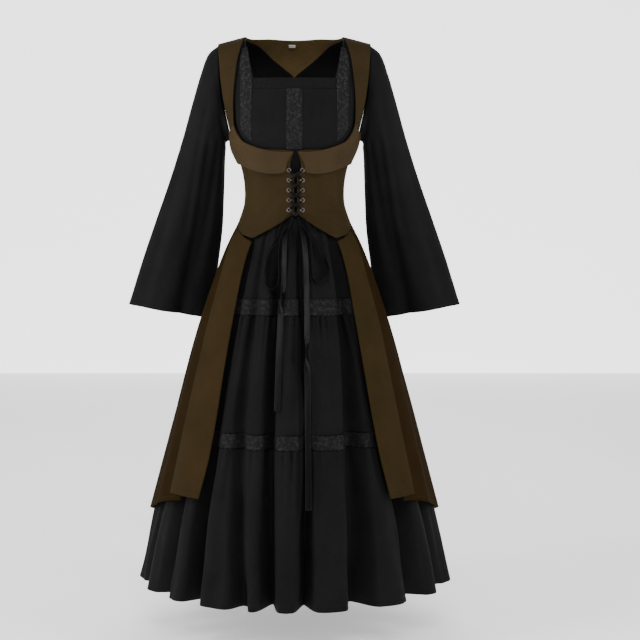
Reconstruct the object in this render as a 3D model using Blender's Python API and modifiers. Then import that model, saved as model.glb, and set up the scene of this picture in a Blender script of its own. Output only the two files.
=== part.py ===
"""Worn medieval gown: a black dress with bell sleeves and a tiered skirt, under a brown laced
overdress whose skirt is open at the front.

Metres, +Z up. The front faces -Y. The origin is the middle of the shoulder line, where the
wearer holds the gown up. Every panel is a loft over a body form, thickened inwards, and what
lies on a panel is made from the same form moved out. Angles run round the form from the front
centre towards +X.
"""

import math

import bmesh
import bpy
from mathutils import Vector

COLLECTION = "medieval_gown"
MM = 0.001

# Walls and gaps
CLOTH = 1.6 * MM
LACE = 1.0 * MM
RIBBON = 0.6 * MM
SEAM = 2.0 * MM
SLEEVE_SEAM = 0.9 * MM

# Layers, as distances of the outer face from the body form
DRESS_FRONT_OUT = -1.8 * MM
DRESS_BACK_OUT = -3.6 * MM
TRIM_OUT = 1.1 * MM
VEST_OUT = 3.8 * MM
COLLAR_OUT = (9.0 * MM, 6.2 * MM)
STRIP_OUT = 3.0 * MM
LABEL_OUT = -1.2 * MM

# Body form of the bodice. Columns: height, half width, front depth, back depth, roundness.
BODY = (
    (0.040, 0.197, 0.078, 0.100, 2.6),
    (0.000, 0.195, 0.078, 0.100, 2.6),
    (-0.060, 0.190, 0.088, 0.105, 2.6),
    (-0.106, 0.1835, 0.097, 0.105, 2.6),
    (-0.154, 0.1725, 0.108, 0.102, 2.6),
    (-0.190, 0.1645, 0.117, 0.099, 2.5),
    (-0.209, 0.1590, 0.121, 0.097, 2.5),
    (-0.2375, 0.1475, 0.122, 0.094, 2.4),
    (-0.260, 0.1395, 0.119, 0.091, 2.3),
    (-0.294, 0.1235, 0.107, 0.086, 2.2),
    (-0.330, 0.1150, 0.095, 0.083, 2.2),
    (-0.360, 0.1125, 0.090, 0.082, 2.2),
    (-0.388, 0.1140, 0.0905, 0.084, 2.2),
    (-0.407, 0.1190, 0.093, 0.089, 2.1),
    (-0.4255, 0.1255, 0.097, 0.096, 2.1),
    (-0.444, 0.1325, 0.102, 0.104, 2.0),
    (-0.463, 0.1425, 0.107, 0.112, 2.0),
    (-0.482, 0.1525, 0.112, 0.120, 2.0),
    (-0.501, 0.1605, 0.117, 0.127, 2.0),
)

# Crowns of the tiered skirt's folds, same columns
SKIRT = (
    (-0.360, 0.1105, 0.0880, 0.0800, 2.2),
    (-0.430, 0.1245, 0.0955, 0.0955, 2.1),
    (-0.500, 0.1550, 0.1120, 0.1220, 2.0),
    (-0.580, 0.1810, 0.1460, 0.1520, 2.0),
    (-0.640, 0.1995, 0.1740, 0.1760, 2.0),
    (-0.770, 0.2365, 0.2190, 0.2210, 2.0),
    (-0.900, 0.2705, 0.2580, 0.2600, 2.0),
    (-1.000, 0.2975, 0.2830, 0.2860, 2.0),
    (-1.083, 0.3210, 0.3000, 0.3030, 2.0),
    (-1.150, 0.3365, 0.3110, 0.3140, 2.0),
    (-1.270, 0.3630, 0.3310, 0.3310, 2.0),
)

# Open overskirt, same columns
OVERSKIRT = (
    (-0.400, 0.1225, 0.0960, 0.0915, 2.1),
    (-0.430, 0.1320, 0.1030, 0.1030, 2.1),
    (-0.463, 0.1475, 0.1120, 0.1170, 2.0),
    (-0.501, 0.1650, 0.1240, 0.1330, 2.0),
    (-0.580, 0.1940, 0.1550, 0.1650, 2.0),
    (-0.660, 0.2210, 0.1900, 0.1980, 2.0),
    (-0.800, 0.2600, 0.2400, 0.2420, 2.0),
    (-0.942, 0.2960, 0.2820, 0.2850, 2.0),
    (-1.083, 0.3320, 0.3180, 0.3220, 2.0),
    (-1.200, 0.3620, 0.3450, 0.3520, 2.0),
)

# Shoulder line: it falls from the neck to the shoulder's end, and rolls from front to back
SHOULDER_TOP = 0.030
SHOULDER_FALL = 0.266
SHOULDER_ROUND = 0.020
ROLL = 0.075
NECK_X = 0.113
SHOULDER_Z = -0.017
UNDERARM_Z = -0.2375
WAIST_Z = -0.370

# Seam of dress and sleeve, and the overdress's own armhole. Columns: height, dress x, overdress x.
ARMHOLE = (
    (-0.2375, 0.1475, 0.1400),
    (-0.209, 0.1540, 0.1460),
    (-0.190, 0.1585, 0.1515),
    (-0.154, 0.1660, 0.1600),
    (-0.106, 0.1715, 0.1670),
    (-0.060, 0.1745, 0.1715),
    (-0.017, 0.1745, 0.1770),
    (0.0, 0.1745, 0.1770),
)

# Rows of the dress bodice below the shoulder roll, from the waist up
BODICE_ROWS = (WAIST_Z, -0.330, -0.294, -0.263, UNDERARM_Z, -0.209, -0.190, -0.154, -0.130)
SHOULDER_DROPS = (0.050, 0.030, 0.013, 0.004, 0.0)
NECKLINE_Z = -0.104
NECKLINE_X = 0.0935
NECKLINE_CURVE = 0.8
DRESS_SIDE_COLUMNS = 4
DRESS_MIDDLE_COLUMNS = 8
BACK_COLUMNS = 7

# Back neck of the dress. Columns: drop from the shoulder line, x of the V edge.
BACK_NECK = (
    (0.0, 0.1130),
    (0.004, 0.1040),
    (0.013, 0.0870),
    (0.030, 0.0700),
    (0.050, 0.0520),
    (0.0781, 0.0260),
    (0.1055, 0.0),
)

# Overdress front, from the hem up. Columns: inner edge x and z, outer edge x and z; an outer x
# of None is the side seam.
FRONT_OPENING = 0.003
FRONT_SHIFT = 0.003
POINT_Z = -0.414
CORNER_X = 0.096
CORNER_Z = -0.477
SIDE_HEM_Z = -0.430
BACK_HEM_Z = -0.424
VEST_FRONT = (
    (0.004, -0.2725, None, -0.285),
    (0.065, -0.2680, None, -0.262),
    (0.1050, -0.2530, None, -0.254),
    (0.1175, -0.2440, 0.1400, -0.242),
    (0.1285, -0.2270, 0.1415, -0.231),
    (0.1357, -0.2087, 0.1460, -0.209),
    (0.1375, -0.1850, 0.1525, -0.186),
    (0.1380, -0.1540, 0.1600, -0.154),
    (0.1350, -0.1060, 0.1670, -0.106),
    (0.1290, -0.0600, 0.1715, -0.060),
)
VEST_SHOULDER = ((0.030, 0.1225), (0.013, 0.1175), (0.004, 0.1145), (0.0, 0.1135))
VEST_BODY_STEPS = 5
VEST_COLUMNS = 8
CORNER_COLUMN = 5
OPENING_REACH = 0.08
# Back of the overdress at the neck. Columns: inner edge x and z, drop of the outer edge from the
# shoulder line; a z of None lies on the shoulder line less the drop.
VEST_BACK_NECK = (
    (0.0, -0.025, 0.030),
    (0.0, 0.003, 0.013),
    (0.1000, None, 0.004),
    (0.1135, None, 0.0),
)
VEST_BACK_SIDE_ROWS = (-0.388, -0.350, -0.310, -0.275, -0.250)
VEST_BACK_ARM_ROWS = (-0.228, -0.206, -0.180, -0.154, -0.106, -0.060)

# Turned-down collar. Columns: upper edge x and z, lower edge x and z; None is the side seam.
COLLAR_ROWS = 5
COLLAR = (
    (0.0040, -0.2730, 0.0125, -0.3110),
    (0.0130, -0.2728, 0.0220, -0.3178),
    (0.0320, -0.2722, 0.0430, -0.3205),
    (0.0580, -0.2690, 0.0680, -0.3180),
    (0.0850, -0.2615, 0.0900, -0.3115),
    (0.1050, -0.2530, 0.1070, -0.3030),
    (0.1175, -0.2440, 0.1170, -0.2965),
    (0.1285, -0.2270, None, -0.2850),
    (0.1335, -0.2150, 0.1400, -0.2580),
    (0.1357, -0.2087, 0.1430, -0.2250),
)

# Lace strip on each side of the bodice. Columns: inner edge x and z, outer edge x and z.
SIDE_LACE = (
    (0.0985, -0.2490, 0.1120, -0.2370),
    (0.0985, -0.2200, 0.1210, -0.2200),
    (0.0980, -0.1800, 0.1230, -0.1800),
    (0.0975, -0.1400, 0.1240, -0.1400),
    (0.0975, -0.1040, 0.1240, -0.1040),
    (0.1015, -0.0780, 0.1250, -0.0780),
    (0.1045, -0.0550, 0.1235, -0.0560),
    (0.1070, -0.0410, 0.1215, -0.0420),
    (0.1085, -0.0300, 0.1190, -0.0330),
)
CENTRE_LACE_X = 0.0175
CENTRE_LACE_Z = (-0.270, -0.235, -0.200, -0.165, -0.1294)
NECK_BAND_Z = (-0.1290, -0.1170, -0.1050)
NECK_BAND_COLUMNS = 10

# Sleeve on +X. Columns: outer x and z, inner x and z, centre y, half depth.
SLEEVE = (
    (0.2010, -0.0370, 0.1600, -0.2430, 0.004, 0.056),
    (0.2200, -0.0850, 0.1610, -0.2560, 0.010, 0.062),
    (0.2400, -0.1500, 0.1630, -0.2760, 0.018, 0.063),
    (0.2650, -0.2360, 0.1650, -0.3150, 0.030, 0.060),
    (0.2960, -0.3290, 0.1680, -0.3750, 0.048, 0.057),
    (0.3320, -0.4240, 0.1730, -0.4500, 0.074, 0.058),
    (0.3690, -0.5200, 0.1860, -0.5400, 0.106, 0.061),
    (0.4080, -0.6280, 0.2030, -0.6620, 0.140, 0.067),
)
SLEEVE_COLUMNS = 28
# Soft folds down the sleeve. Columns: angle round the sleeve, sharpness, depth at the cuff.
SLEEVE_FOLDS = ((118.0, 10, 0.014), (42.0, 8, 0.006), (-125.0, 8, 0.012), (-55.0, 8, 0.008))

# Skirt tiers. Rows: height and share of the gathers' depth.
TIER_1 = ((-0.6072, 0.0), (-0.5400, 0.3), (-0.4700, 0.8), (-0.4100, 1.0), (-0.3708, 0.0))
TIER_2 = ((-0.8991, 0.0), (-0.8300, 0.1), (-0.7400, 0.4), (-0.6580, 1.0), (-0.6409, 0.0))
TIER_3 = ((-1.2615, 0.0), (-1.1400, 0.0), (-1.0200, 0.4), (-0.9430, 1.0), (-0.9269, 0.0))
UPPER_LACE = ((-0.6400, 0.0), (-0.6081, 0.0))
LOWER_LACE = ((-0.9260, 0.0), (-0.9000, 0.0))
GATHER = 2.5 * MM

# Valleys between the skirt's folds. Columns: angle at three heights, half width, depth share.
FOLD_HEIGHTS = (-0.563, -0.853, -1.26)
FOLDS = (
    (-150.0, -150.0, -151.0, 5.0, 0.8),
    (-122.0, -122.0, -121.0, 5.0, 0.8),
    (-95.0, -96.0, -96.0, 5.0, 0.8),
    (-71.0, -73.0, -75.0, 4.5, 0.8),
    (-55.0, -56.0, -56.0, 3.6, 0.7),
    (-42.0, -42.0, -39.0, 3.6, 0.9),
    (-28.0, -27.0, -20.0, 3.2, 0.6),
    (-13.4, -12.0, -9.5, 3.0, 1.0),
    (4.9, 6.6, 4.3, 3.0, 1.0),
    (36.0, 30.0, 24.5, 5.5, 1.0),
    (53.0, 50.0, 50.0, 4.5, 0.9),
    (71.0, 70.0, 69.0, 5.0, 0.8),
    (94.0, 94.0, 94.0, 5.0, 0.8),
    (121.0, 122.0, 122.0, 5.0, 0.8),
    (150.0, 150.0, 149.0, 5.0, 0.8),
    (180.0, 181.0, 180.0, 5.0, 0.8),
)
# Depth of the valleys. Columns: height, depth.
FOLD_DEPTH = (
    (-0.370, 0.001),
    (-0.420, 0.004),
    (-0.500, 0.012),
    (-0.608, 0.026),
    (-0.770, 0.040),
    (-0.900, 0.050),
    (-1.050, 0.064),
    (-1.270, 0.086),
)
# Places across a valley, in half widths, with the share of the depth there
VALLEY = ((-1.0, 0.10), (-0.4, 0.85), (0.4, 0.85), (1.0, 0.10))
CROWN = ((1 / 3, 0.0), (2 / 3, 0.0))

# Overskirt. Columns: height, inner and outer edge angle of the front strip.
STRIP = (
    (-0.560, 40.0, 65.0),
    (-0.660, 38.5, 62.5),
    (-0.760, 38.0, 61.0),
    (-0.860, 37.8, 60.0),
    (-0.950, 38.5, 59.5),
    (-1.038, 40.5, 59.0),
)
STRIP_TOP_OUTER = 70.0
STRIP_COLUMNS = 3
STRIP_YOKE = 0.030
WAIST_GAP = 0.8 * MM
RIGHT_NARROWER = 3.0
# Side and back panel. Columns: angle, hem height, share of the pleat's step under the strip.
SIDE_HEM = (
    (52.0, -1.048, 1.0),
    (62.0, -1.058, 0.8),
    (74.0, -1.078, 0.0),
    (90.0, -1.102, 0.0),
    (110.0, -1.130, 0.0),
    (140.0, -1.150, 0.0),
    (180.0, -1.160, 0.0),
)
PLEAT_STEP = 3.5 * MM
SIDE_COLUMNS = 18
SIDE_STEPS = (0.0, 0.2, 0.4, 0.6, 0.78, 0.91, 1.0)
SIDE_FLUTE = 7.0 * MM
SIDE_TOP_CLEAR = 0.8
SIDE_FLUTES = 5

# Eyelets and lacing
EYELET_X = 0.0155
EYELET_TOP_Z = -0.3150
EYELET_PITCH = 0.0226
EYELET_PAIRS = 5
EYELET_R = 5.6 * MM
EYELET_HOLE_R = 2.5 * MM
EYELET_HEIGHT = 1.3 * MM
EYELET_SIDES = 8
EYELET_GAP = 0.7 * MM
LACING_OUT = 7.2 * MM
LACING_RISE = (0.2 * MM, 2.8 * MM)
LACING_WIDTH = (2.2 * MM, 6.5 * MM)
LACING_SHIFT = 1.4 * MM
LACING_STEPS = 6

# Bow knot, and the ribbon's two loops and two free ends
RIBBON_WIDTH = 13.0 * MM
RIBBON_CLEAR = 5.0 * MM
KNOT = Vector((0.0020, 0.0, -0.4150))
KNOT_SIZE = Vector((8.0, 5.0, 6.5)) * MM
KNOT_CLEAR = 2.0 * MM
KNOT_SIDES = (10, 6)
RIBBON_SPACING = 0.017
LOOP_CLEAR = 9.0 * MM
HEM_MARGIN = 6.0 * MM
# Routes. Columns: x, z, distance off the skirt beyond the ribbon's own, turn in degrees.
LEFT_END = (
    (-0.0045, -0.4219, 0.002, 0.0),
    (-0.0200, -0.4570, 0.002, 0.0),
    (-0.0235, -0.5180, 0.0, 0.0),
    (-0.0245, -0.5750, 0.0, 15.0),
    (-0.0270, -0.6080, 0.002, 70.0),
    (-0.0300, -0.6400, 0.0, 10.0),
    (-0.0340, -0.7300, 0.0, 0.0),
    (-0.0375, -0.8450, 0.0, 0.0),
)
RIGHT_END = (
    (0.0087, -0.4219, 0.002, 0.0),
    (0.0195, -0.4570, 0.002, 0.0),
    (0.0265, -0.5180, 0.0, 0.0),
    (0.0275, -0.5800, 0.0, 0.0),
    (0.0280, -0.6800, 0.0, 12.0),
    (0.0275, -0.7220, 0.002, 70.0),
    (0.0285, -0.7600, 0.0, 10.0),
    (0.0290, -0.8700, 0.0, 0.0),
    (0.0300, -0.9600, 0.0, 0.0),
    (0.0300, -1.0500, 0.0, 0.0),
)
LEFT_LOOP = (
    (-0.0066, -0.4140, -0.002, 90.0),
    (-0.0210, -0.4240, 0.006, 90.0),
    (-0.0370, -0.4550, 0.010, 90.0),
    (-0.0460, -0.4800, 0.006, 80.0),
    (-0.0575, -0.4940, 0.002, 90.0),
    (-0.0665, -0.5250, 0.0, 90.0),
    (-0.0675, -0.5610, 0.0, 90.0),
    (-0.0620, -0.5780, 0.0, 90.0),
    (-0.0510, -0.5840, 0.0, 90.0),
    (-0.0400, -0.5780, 0.0, 90.0),
    (-0.0360, -0.5600, 0.0, 90.0),
    (-0.0350, -0.5250, 0.0, 90.0),
    (-0.0345, -0.4950, 0.004, 90.0),
    (-0.0300, -0.4650, 0.009, 90.0),
    (-0.0140, -0.4400, 0.011, 90.0),
)
RIGHT_LOOP = (
    (0.0106, -0.4140, -0.002, 90.0),
    (0.0270, -0.4300, 0.006, 90.0),
    (0.0440, -0.4600, 0.008, 90.0),
    (0.0590, -0.4820, 0.005, 80.0),
    (0.0680, -0.5080, 0.002, 90.0),
    (0.0775, -0.5300, 0.0, 90.0),
    (0.0770, -0.5470, 0.0, 90.0),
    (0.0680, -0.5610, 0.0, 90.0),
    (0.0540, -0.5680, 0.0, 90.0),
    (0.0430, -0.5600, 0.0, 90.0),
    (0.0395, -0.5350, 0.0, 90.0),
    (0.0390, -0.5050, 0.004, 90.0),
    (0.0350, -0.4700, 0.009, 90.0),
    (0.0185, -0.4400, 0.011, 90.0),
)

LABEL_X = -0.0055
LABEL_Z = -0.0060
LABEL_SIZE = (0.016, 0.006)

# Surfaces. Columns: linear colour, roughness, metallic.
MATERIALS = {
    "black_cloth": ((0.012, 0.012, 0.013), 0.85, 0.0),
    "black_lace": ((0.017, 0.017, 0.018), 0.80, 0.0),
    "brown_cloth": ((0.050, 0.034, 0.017), 0.80, 0.0),
    "satin_ribbon": ((0.030, 0.029, 0.030), 0.35, 0.0),
    "aged_silver": ((0.450, 0.430, 0.400), 0.35, 1.0),
    "white_label": ((0.750, 0.740, 0.700), 0.70, 0.0),
}


def smooth(rows, key):
    """Columns of a table at a key, on a smooth curve through the table's rows."""
    rows = sorted(rows)
    if key <= rows[0][0]:
        return rows[0][1:]
    if key >= rows[-1][0]:
        return rows[-1][1:]
    i = max(k for k in range(len(rows) - 1) if rows[k][0] <= key)
    low, high = rows[i], rows[i + 1]
    before, after = rows[max(i - 1, 0)], rows[min(i + 2, len(rows) - 1)]
    span = high[0] - low[0]
    t = (key - low[0]) / span
    values = []
    for c in range(1, len(low)):
        start = (high[c] - before[c]) / (high[0] - before[0]) * span
        end = (after[c] - low[c]) / (after[0] - low[0]) * span
        values.append(
            (2 * t**3 - 3 * t**2 + 1) * low[c]
            + (t**3 - 2 * t**2 + t) * start
            + (3 * t**2 - 2 * t**3) * high[c]
            + (t**3 - t**2) * end
        )
    return tuple(values)


def linear(rows, key):
    """Columns of a table at a key, on straight lines between its rows."""
    rows = sorted(rows)
    if key <= rows[0][0]:
        return rows[0][1:]
    for low, high in zip(rows, rows[1:]):
        if key <= high[0]:
            t = (key - low[0]) / (high[0] - low[0])
            return tuple(a + (b - a) * t for a, b in zip(low[1:], high[1:]))
    return rows[-1][1:]


def mix(a, b, t):
    return a + (b - a) * t


def shoulder_line(x):
    return SHOULDER_TOP - SHOULDER_FALL * math.hypot(x, SHOULDER_ROUND)


def form_x(form, angle, z):
    half, _front, _back, power = smooth(form, z)
    side = math.sin(angle)
    return math.copysign(half * abs(side) ** (2 / power), side)


def form_angle(form, x, z):
    """Angle in the front half of the form where it has this x."""
    half, _front, _back, power = smooth(form, z)
    return math.copysign(math.asin(min(abs(x) / half, 1.0) ** (power / 2)), x)


def form_depth(form, x, z, behind):
    _half, front, back, _power = smooth(form, z)
    turn = max(1 - max(shoulder_line(x) - z, 0.0) / ROLL, 0.0)
    return (back if behind else front) * math.sqrt(1 - turn * turn)


def form_normal(form, x, y, z, behind):
    """Outward direction of the form at a point on it."""
    near = 1.5 * MM
    if abs(y) < near and shoulder_line(x) - z < near:
        return Vector((math.copysign(SHOULDER_FALL, x), 0, 1)).normalized()

    def level(px, py, pz):
        half, _front, _back, power = smooth(form, pz)
        depth = max(form_depth(form, px, pz, behind), 0.1 * MM)
        return (abs(px) / half) ** power + (abs(py) / depth) ** power

    step = 0.1 * MM
    return Vector(
        (
            level(x + step, y, z) - level(x - step, y, z),
            level(x, y + step, z) - level(x, y - step, z),
            level(x, y, z + step) - level(x, y, z - step),
        )
    ).normalized()


def on_form(form, angle, z, out=0.0, seam=SEAM):
    """Point of the form at an angle and height, moved out. Seam is the gap left at the sides."""
    power = smooth(form, z)[3]
    x = form_x(form, angle, z)
    turn = math.cos(angle)
    behind = turn < 0 or abs(turn) < 1e-9 and seam < 0
    depth = form_depth(form, x, z, behind) * abs(turn) ** (2 / power)
    y = max(depth, abs(seam) / 2) * (1 if behind else -1)
    return Vector((x, y, z)) + form_normal(form, x, y, z, behind) * out


def row_places(form, inner, outer, columns):
    """Angles and heights along a row from an inner to an outer edge; outer x None is the side."""
    inner_x, inner_z = inner
    outer_x, outer_z = outer
    start = form_angle(form, inner_x, inner_z)
    if outer_x is None:
        end = math.pi / 2
        outer_x = form_x(form, end, outer_z)
    else:
        end = form_angle(form, outer_x, outer_z)
    places = []
    for c in range(columns + 1):
        angle = mix(start, end, c / columns)
        z = inner_z
        for _ in range(6):
            share = (form_x(form, angle, z) - inner_x) / (outer_x - inner_x)
            z = mix(inner_z, outer_z, share)
        places.append((angle, z))
    return places


def mirrored(places):
    return [(-angle, z) for angle, z in reversed(places)]


def to_back(places):
    """The same row on the back half of the form."""
    return [(math.pi - angle, z) for angle, z in places]


def placed(rows, form, out, seam=SEAM):
    return [[on_form(form, angle, z, out, seam) for angle, z in row] for row in rows]


def material(name):
    found = bpy.data.materials.get(name)
    if found:
        return found
    colour, roughness, metallic = MATERIALS[name]
    made = bpy.data.materials.new(name)
    made.use_nodes = True
    shader = made.node_tree.nodes["Principled BSDF"]
    shader.inputs["Base Color"].default_value = (*colour, 1.0)
    shader.inputs["Roughness"].default_value = roughness
    shader.inputs["Metallic"].default_value = metallic
    made.diffuse_color = (*colour, 1.0)
    return made


def add_object(name, bm, material_name):
    mesh = bpy.data.meshes.new(name)
    bm.to_mesh(mesh)
    bm.free()
    mesh.materials.append(material(material_name))
    obj = bpy.data.objects.new(name, mesh)
    bpy.data.collections[COLLECTION].objects.link(obj)
    return obj


def add_sheet(name, rows, wall, material_name, closed=False, left_out=None, axis=None):
    """Loft through rows of points, given a wall on its inner side."""
    bm = bmesh.new()
    grid = [[bm.verts.new(point) for point in row] for row in rows]
    for r, (below, above) in enumerate(zip(grid, grid[1:])):
        count = len(below)
        for c in range(count if closed else count - 1):
            if left_out and left_out(r, c):
                continue
            after = (c + 1) % count
            bm.faces.new((below[c], below[after], above[after], above[c]))
    bmesh.ops.remove_doubles(bm, verts=bm.verts, dist=0.01 * MM)
    bmesh.ops.delete(bm, geom=[v for v in bm.verts if not v.link_faces], context="VERTS")
    bm.normal_update()
    outward = 0.0
    for face in bm.faces:
        centre = face.calc_center_median()
        middle = axis(centre) if axis else Vector((0, 0, centre.z))
        outward += face.normal.dot(centre - middle) * face.calc_area()
    if outward < 0:
        bmesh.ops.reverse_faces(bm, faces=bm.faces)
    obj = add_object(name, bm, material_name)
    solid = obj.modifiers.new("wall", "SOLIDIFY")
    solid.thickness = wall
    solid.offset = -1.0
    solid.use_quality_normals = True
    return obj


def add_dress_front():
    side_columns, middle_columns = DRESS_SIDE_COLUMNS, DRESS_MIDDLE_COLUMNS
    rows = []
    for z in BODICE_ROWS + (NECKLINE_Z,):
        outer = (None, z) if z <= UNDERARM_Z else (smooth(ARMHOLE, z)[0], z)
        inner_x = NECKLINE_X * min(1.0, smooth(BODY, z)[0] / smooth(BODY, UNDERARM_Z)[0])
        side = row_places(BODY, (inner_x, z), outer, side_columns)
        edge = form_angle(BODY, inner_x, z)
        middle = [(mix(-edge, edge, c / middle_columns), z) for c in range(1, middle_columns)]
        rows.append(mirrored(side) + middle + side)
    neckline_row = len(rows) - 1
    for drop in SHOULDER_DROPS:
        height = (SHOULDER_TOP - drop - NECKLINE_Z) / (SHOULDER_TOP - NECKLINE_Z)
        height += SHOULDER_FALL * NECKLINE_CURVE * (1 - drop / ROLL)
        inner_x = mix(NECKLINE_X, NECK_X, min(1.0, height))
        outer_x = smooth(ARMHOLE, SHOULDER_Z - drop)[0]
        inner = (inner_x, shoulder_line(inner_x) - drop)
        outer = (outer_x, shoulder_line(outer_x) - drop)
        side = row_places(BODY, inner, outer, side_columns)
        edge = form_angle(BODY, *inner)
        middle = [(mix(-edge, edge, c / middle_columns), inner[1]) for c in range(1, middle_columns)]
        rows.append(mirrored(side) + middle + side)

    def in_neck(r, c):
        return r >= neckline_row and side_columns <= c < side_columns + middle_columns

    add_sheet("dress_front", placed(rows, BODY, DRESS_FRONT_OUT), CLOTH, "black_cloth", left_out=in_neck)


def add_dress_back():
    columns = BACK_COLUMNS
    rows = []
    for z in BODICE_ROWS[:-1]:
        outer = (None, z) if z <= UNDERARM_Z else (smooth(ARMHOLE, z)[0], z)
        rows.append(row_places(BODY, (0.0, z), outer, columns))
    for drop, inner_x in reversed(BACK_NECK):
        outer_x = smooth(ARMHOLE, SHOULDER_Z - drop)[0]
        inner = (inner_x, shoulder_line(inner_x) - drop)
        outer = (outer_x, shoulder_line(outer_x) - drop)
        rows.append(row_places(BODY, inner, outer, columns))
    grid = []
    for row in rows:
        back = to_back(row)
        right = [on_form(BODY, angle, z, DRESS_BACK_OUT, -SEAM) for angle, z in back]
        left = [Vector((-p.x, p.y, p.z)) for p in right]
        grid.append(left[::-1] + right)

    def centre_cell(_r, c):
        return c == columns

    add_sheet("dress_back", grid, CLOTH, "black_cloth", left_out=centre_cell)


def armhole_ring(side):
    """Edge of the sleeve at the armhole, from the shoulder down the front and up the back."""
    middle = (SHOULDER_Z + UNDERARM_Z) / 2
    half = (SHOULDER_Z - UNDERARM_Z) / 2
    ring = []
    for c in range(SLEEVE_COLUMNS):
        angle = math.tau * c / SLEEVE_COLUMNS
        z = middle + half * math.cos(angle)
        x = smooth(ARMHOLE, z)[0]
        behind = math.sin(angle) < 0
        point = on_form(BODY, form_angle(BODY, x, z), z)
        if behind:
            point = on_form(BODY, math.pi - form_angle(BODY, x, z), z, 0.0, -SEAM)
        if abs(math.sin(angle)) < 1e-6:
            point = Vector((x, 0.0, z))
        ring.append(Vector((side * (x + SLEEVE_SEAM), point.y, z)))
    return ring


def sleeve_ring(section, share, side):
    """Ring of the sleeve at one section. Share is the way down it, from 0 to 1."""
    outer_x, outer_z, inner_x, inner_z, centre_y, depth = section
    centre = Vector(((outer_x + inner_x) / 2, centre_y, (outer_z + inner_z) / 2))
    arm = Vector((outer_x, centre_y, outer_z)) - centre
    ring = []
    for c in range(SLEEVE_COLUMNS):
        angle = math.tau * c / SLEEVE_COLUMNS
        fold = sum(
            deep * share * max(math.cos(angle - math.radians(at)), 0.0) ** (2 * sharp)
            for at, sharp, deep in SLEEVE_FOLDS
        )
        point = centre + arm * math.cos(angle) + Vector((0, -depth * math.sin(angle), 0))
        inwards = (centre - point).normalized() * fold
        point += inwards
        ring.append(Vector((side * point.x, point.y, point.z)))
    return ring


def add_sleeve(name, side):
    rings = [armhole_ring(side)]
    for i, section in enumerate(SLEEVE):
        rings.append(sleeve_ring(section, i / (len(SLEEVE) - 1), side))
    centres = [sum(ring, Vector()) / len(ring) for ring in rings]

    def nearest(point):
        return min(centres, key=lambda centre: abs(centre.z - point.z))

    add_sheet(name, rings, CLOTH, "black_cloth", closed=True, axis=nearest)


def fold_angles(z):
    """Valley angles of the skirt's folds at a height, in radians."""
    return [
        math.radians(linear(tuple(zip(FOLD_HEIGHTS, angles)), z)[0])
        for angles in (fold[:3] for fold in FOLDS)
    ]


def fold_columns(z):
    """Angle and share of the folds' depth for each column round the skirt at a height."""
    angles = fold_angles(z)
    columns = []
    for i, fold in enumerate(FOLDS):
        width, share = math.radians(fold[3]), fold[4]
        for place, depth in VALLEY:
            columns.append((angles[i] + place * width, share * depth))
        following = (i + 1) % len(FOLDS)
        start = angles[i] + width
        end = angles[following] - math.radians(FOLDS[following][3])
        end += math.tau if following == 0 else 0.0
        for place, depth in CROWN:
            columns.append((mix(start, end, place), depth))
    return columns


def skirt_row(z, gather):
    depth = smooth(FOLD_DEPTH, z)[0]
    row = []
    for i, (angle, share) in enumerate(fold_columns(z)):
        point = on_form(SKIRT, angle, z, 0.0, 0.0)
        inwards = depth * share + GATHER * gather * (i % 2)
        reach = math.hypot(point.x, point.y)
        scale = 1 - inwards / reach
        row.append(Vector((point.x * scale, point.y * scale, z)))
    return row


def add_skirt():
    for name, rows, wall, cloth in (
        ("skirt_tier_1", TIER_1, CLOTH, "black_cloth"),
        ("skirt_lace_upper", UPPER_LACE, CLOTH, "black_lace"),
        ("skirt_tier_2", TIER_2, CLOTH, "black_cloth"),
        ("skirt_lace_lower", LOWER_LACE, CLOTH, "black_lace"),
        ("skirt_tier_3", TIER_3, CLOTH, "black_cloth"),
    ):
        grid = [skirt_row(z, gather) for z, gather in rows]
        add_sheet(name, grid, wall, cloth, closed=True)


def vest_hem(angle):
    """Height of the overdress's lower edge: a point at the front, down to two corners, then up."""
    corner = form_angle(BODY, CORNER_X, CORNER_Z)
    if angle < corner:
        x = form_x(BODY, angle, (POINT_Z + CORNER_Z) / 2)
        return mix(POINT_Z, CORNER_Z, x / CORNER_X)
    if angle < math.pi / 2:
        return mix(CORNER_Z, SIDE_HEM_Z, (angle - corner) / (math.pi / 2 - corner))
    return mix(SIDE_HEM_Z, BACK_HEM_Z, (angle - math.pi / 2) / (math.pi / 2))


def vest_front_rows():
    top = VEST_FRONT[0]
    upper = row_places(BODY, top[:2], top[2:], VEST_COLUMNS)
    corner = form_angle(BODY, CORNER_X, CORNER_Z)
    hem = []
    for c in range(VEST_COLUMNS + 1):
        start = form_angle(BODY, FRONT_OPENING, POINT_Z)
        if c <= CORNER_COLUMN:
            angle = mix(start, corner, c / CORNER_COLUMN)
        else:
            angle = mix(corner, math.pi / 2, (c - CORNER_COLUMN) / (VEST_COLUMNS - CORNER_COLUMN))
        hem.append((angle, vest_hem(angle)))
    rows = []
    for step in range(VEST_BODY_STEPS):
        t = step / VEST_BODY_STEPS
        row = []
        for low, high in zip(hem, upper):
            z = mix(low[1], high[1], t)
            start = form_angle(BODY, FRONT_OPENING, z)
            lean = (low[0] - hem[0][0]) / (math.pi / 2 - hem[0][0])
            high_lean = (high[0] - upper[0][0]) / (math.pi / 2 - upper[0][0])
            row.append((mix(start, math.pi / 2, mix(lean, high_lean, t)), z))
        rows.append(row)
    rows.append(upper)
    for inner_x, inner_z, outer_x, outer_z in VEST_FRONT[1:]:
        rows.append(row_places(BODY, (inner_x, inner_z), (outer_x, outer_z), VEST_COLUMNS))
    for drop, inner_x in VEST_SHOULDER:
        outer_x = smooth(ARMHOLE, SHOULDER_Z - drop)[1]
        inner = (inner_x, shoulder_line(inner_x) - drop)
        outer = (outer_x, shoulder_line(outer_x) - drop)
        rows.append(row_places(BODY, inner, outer, VEST_COLUMNS))
    return rows


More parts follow.
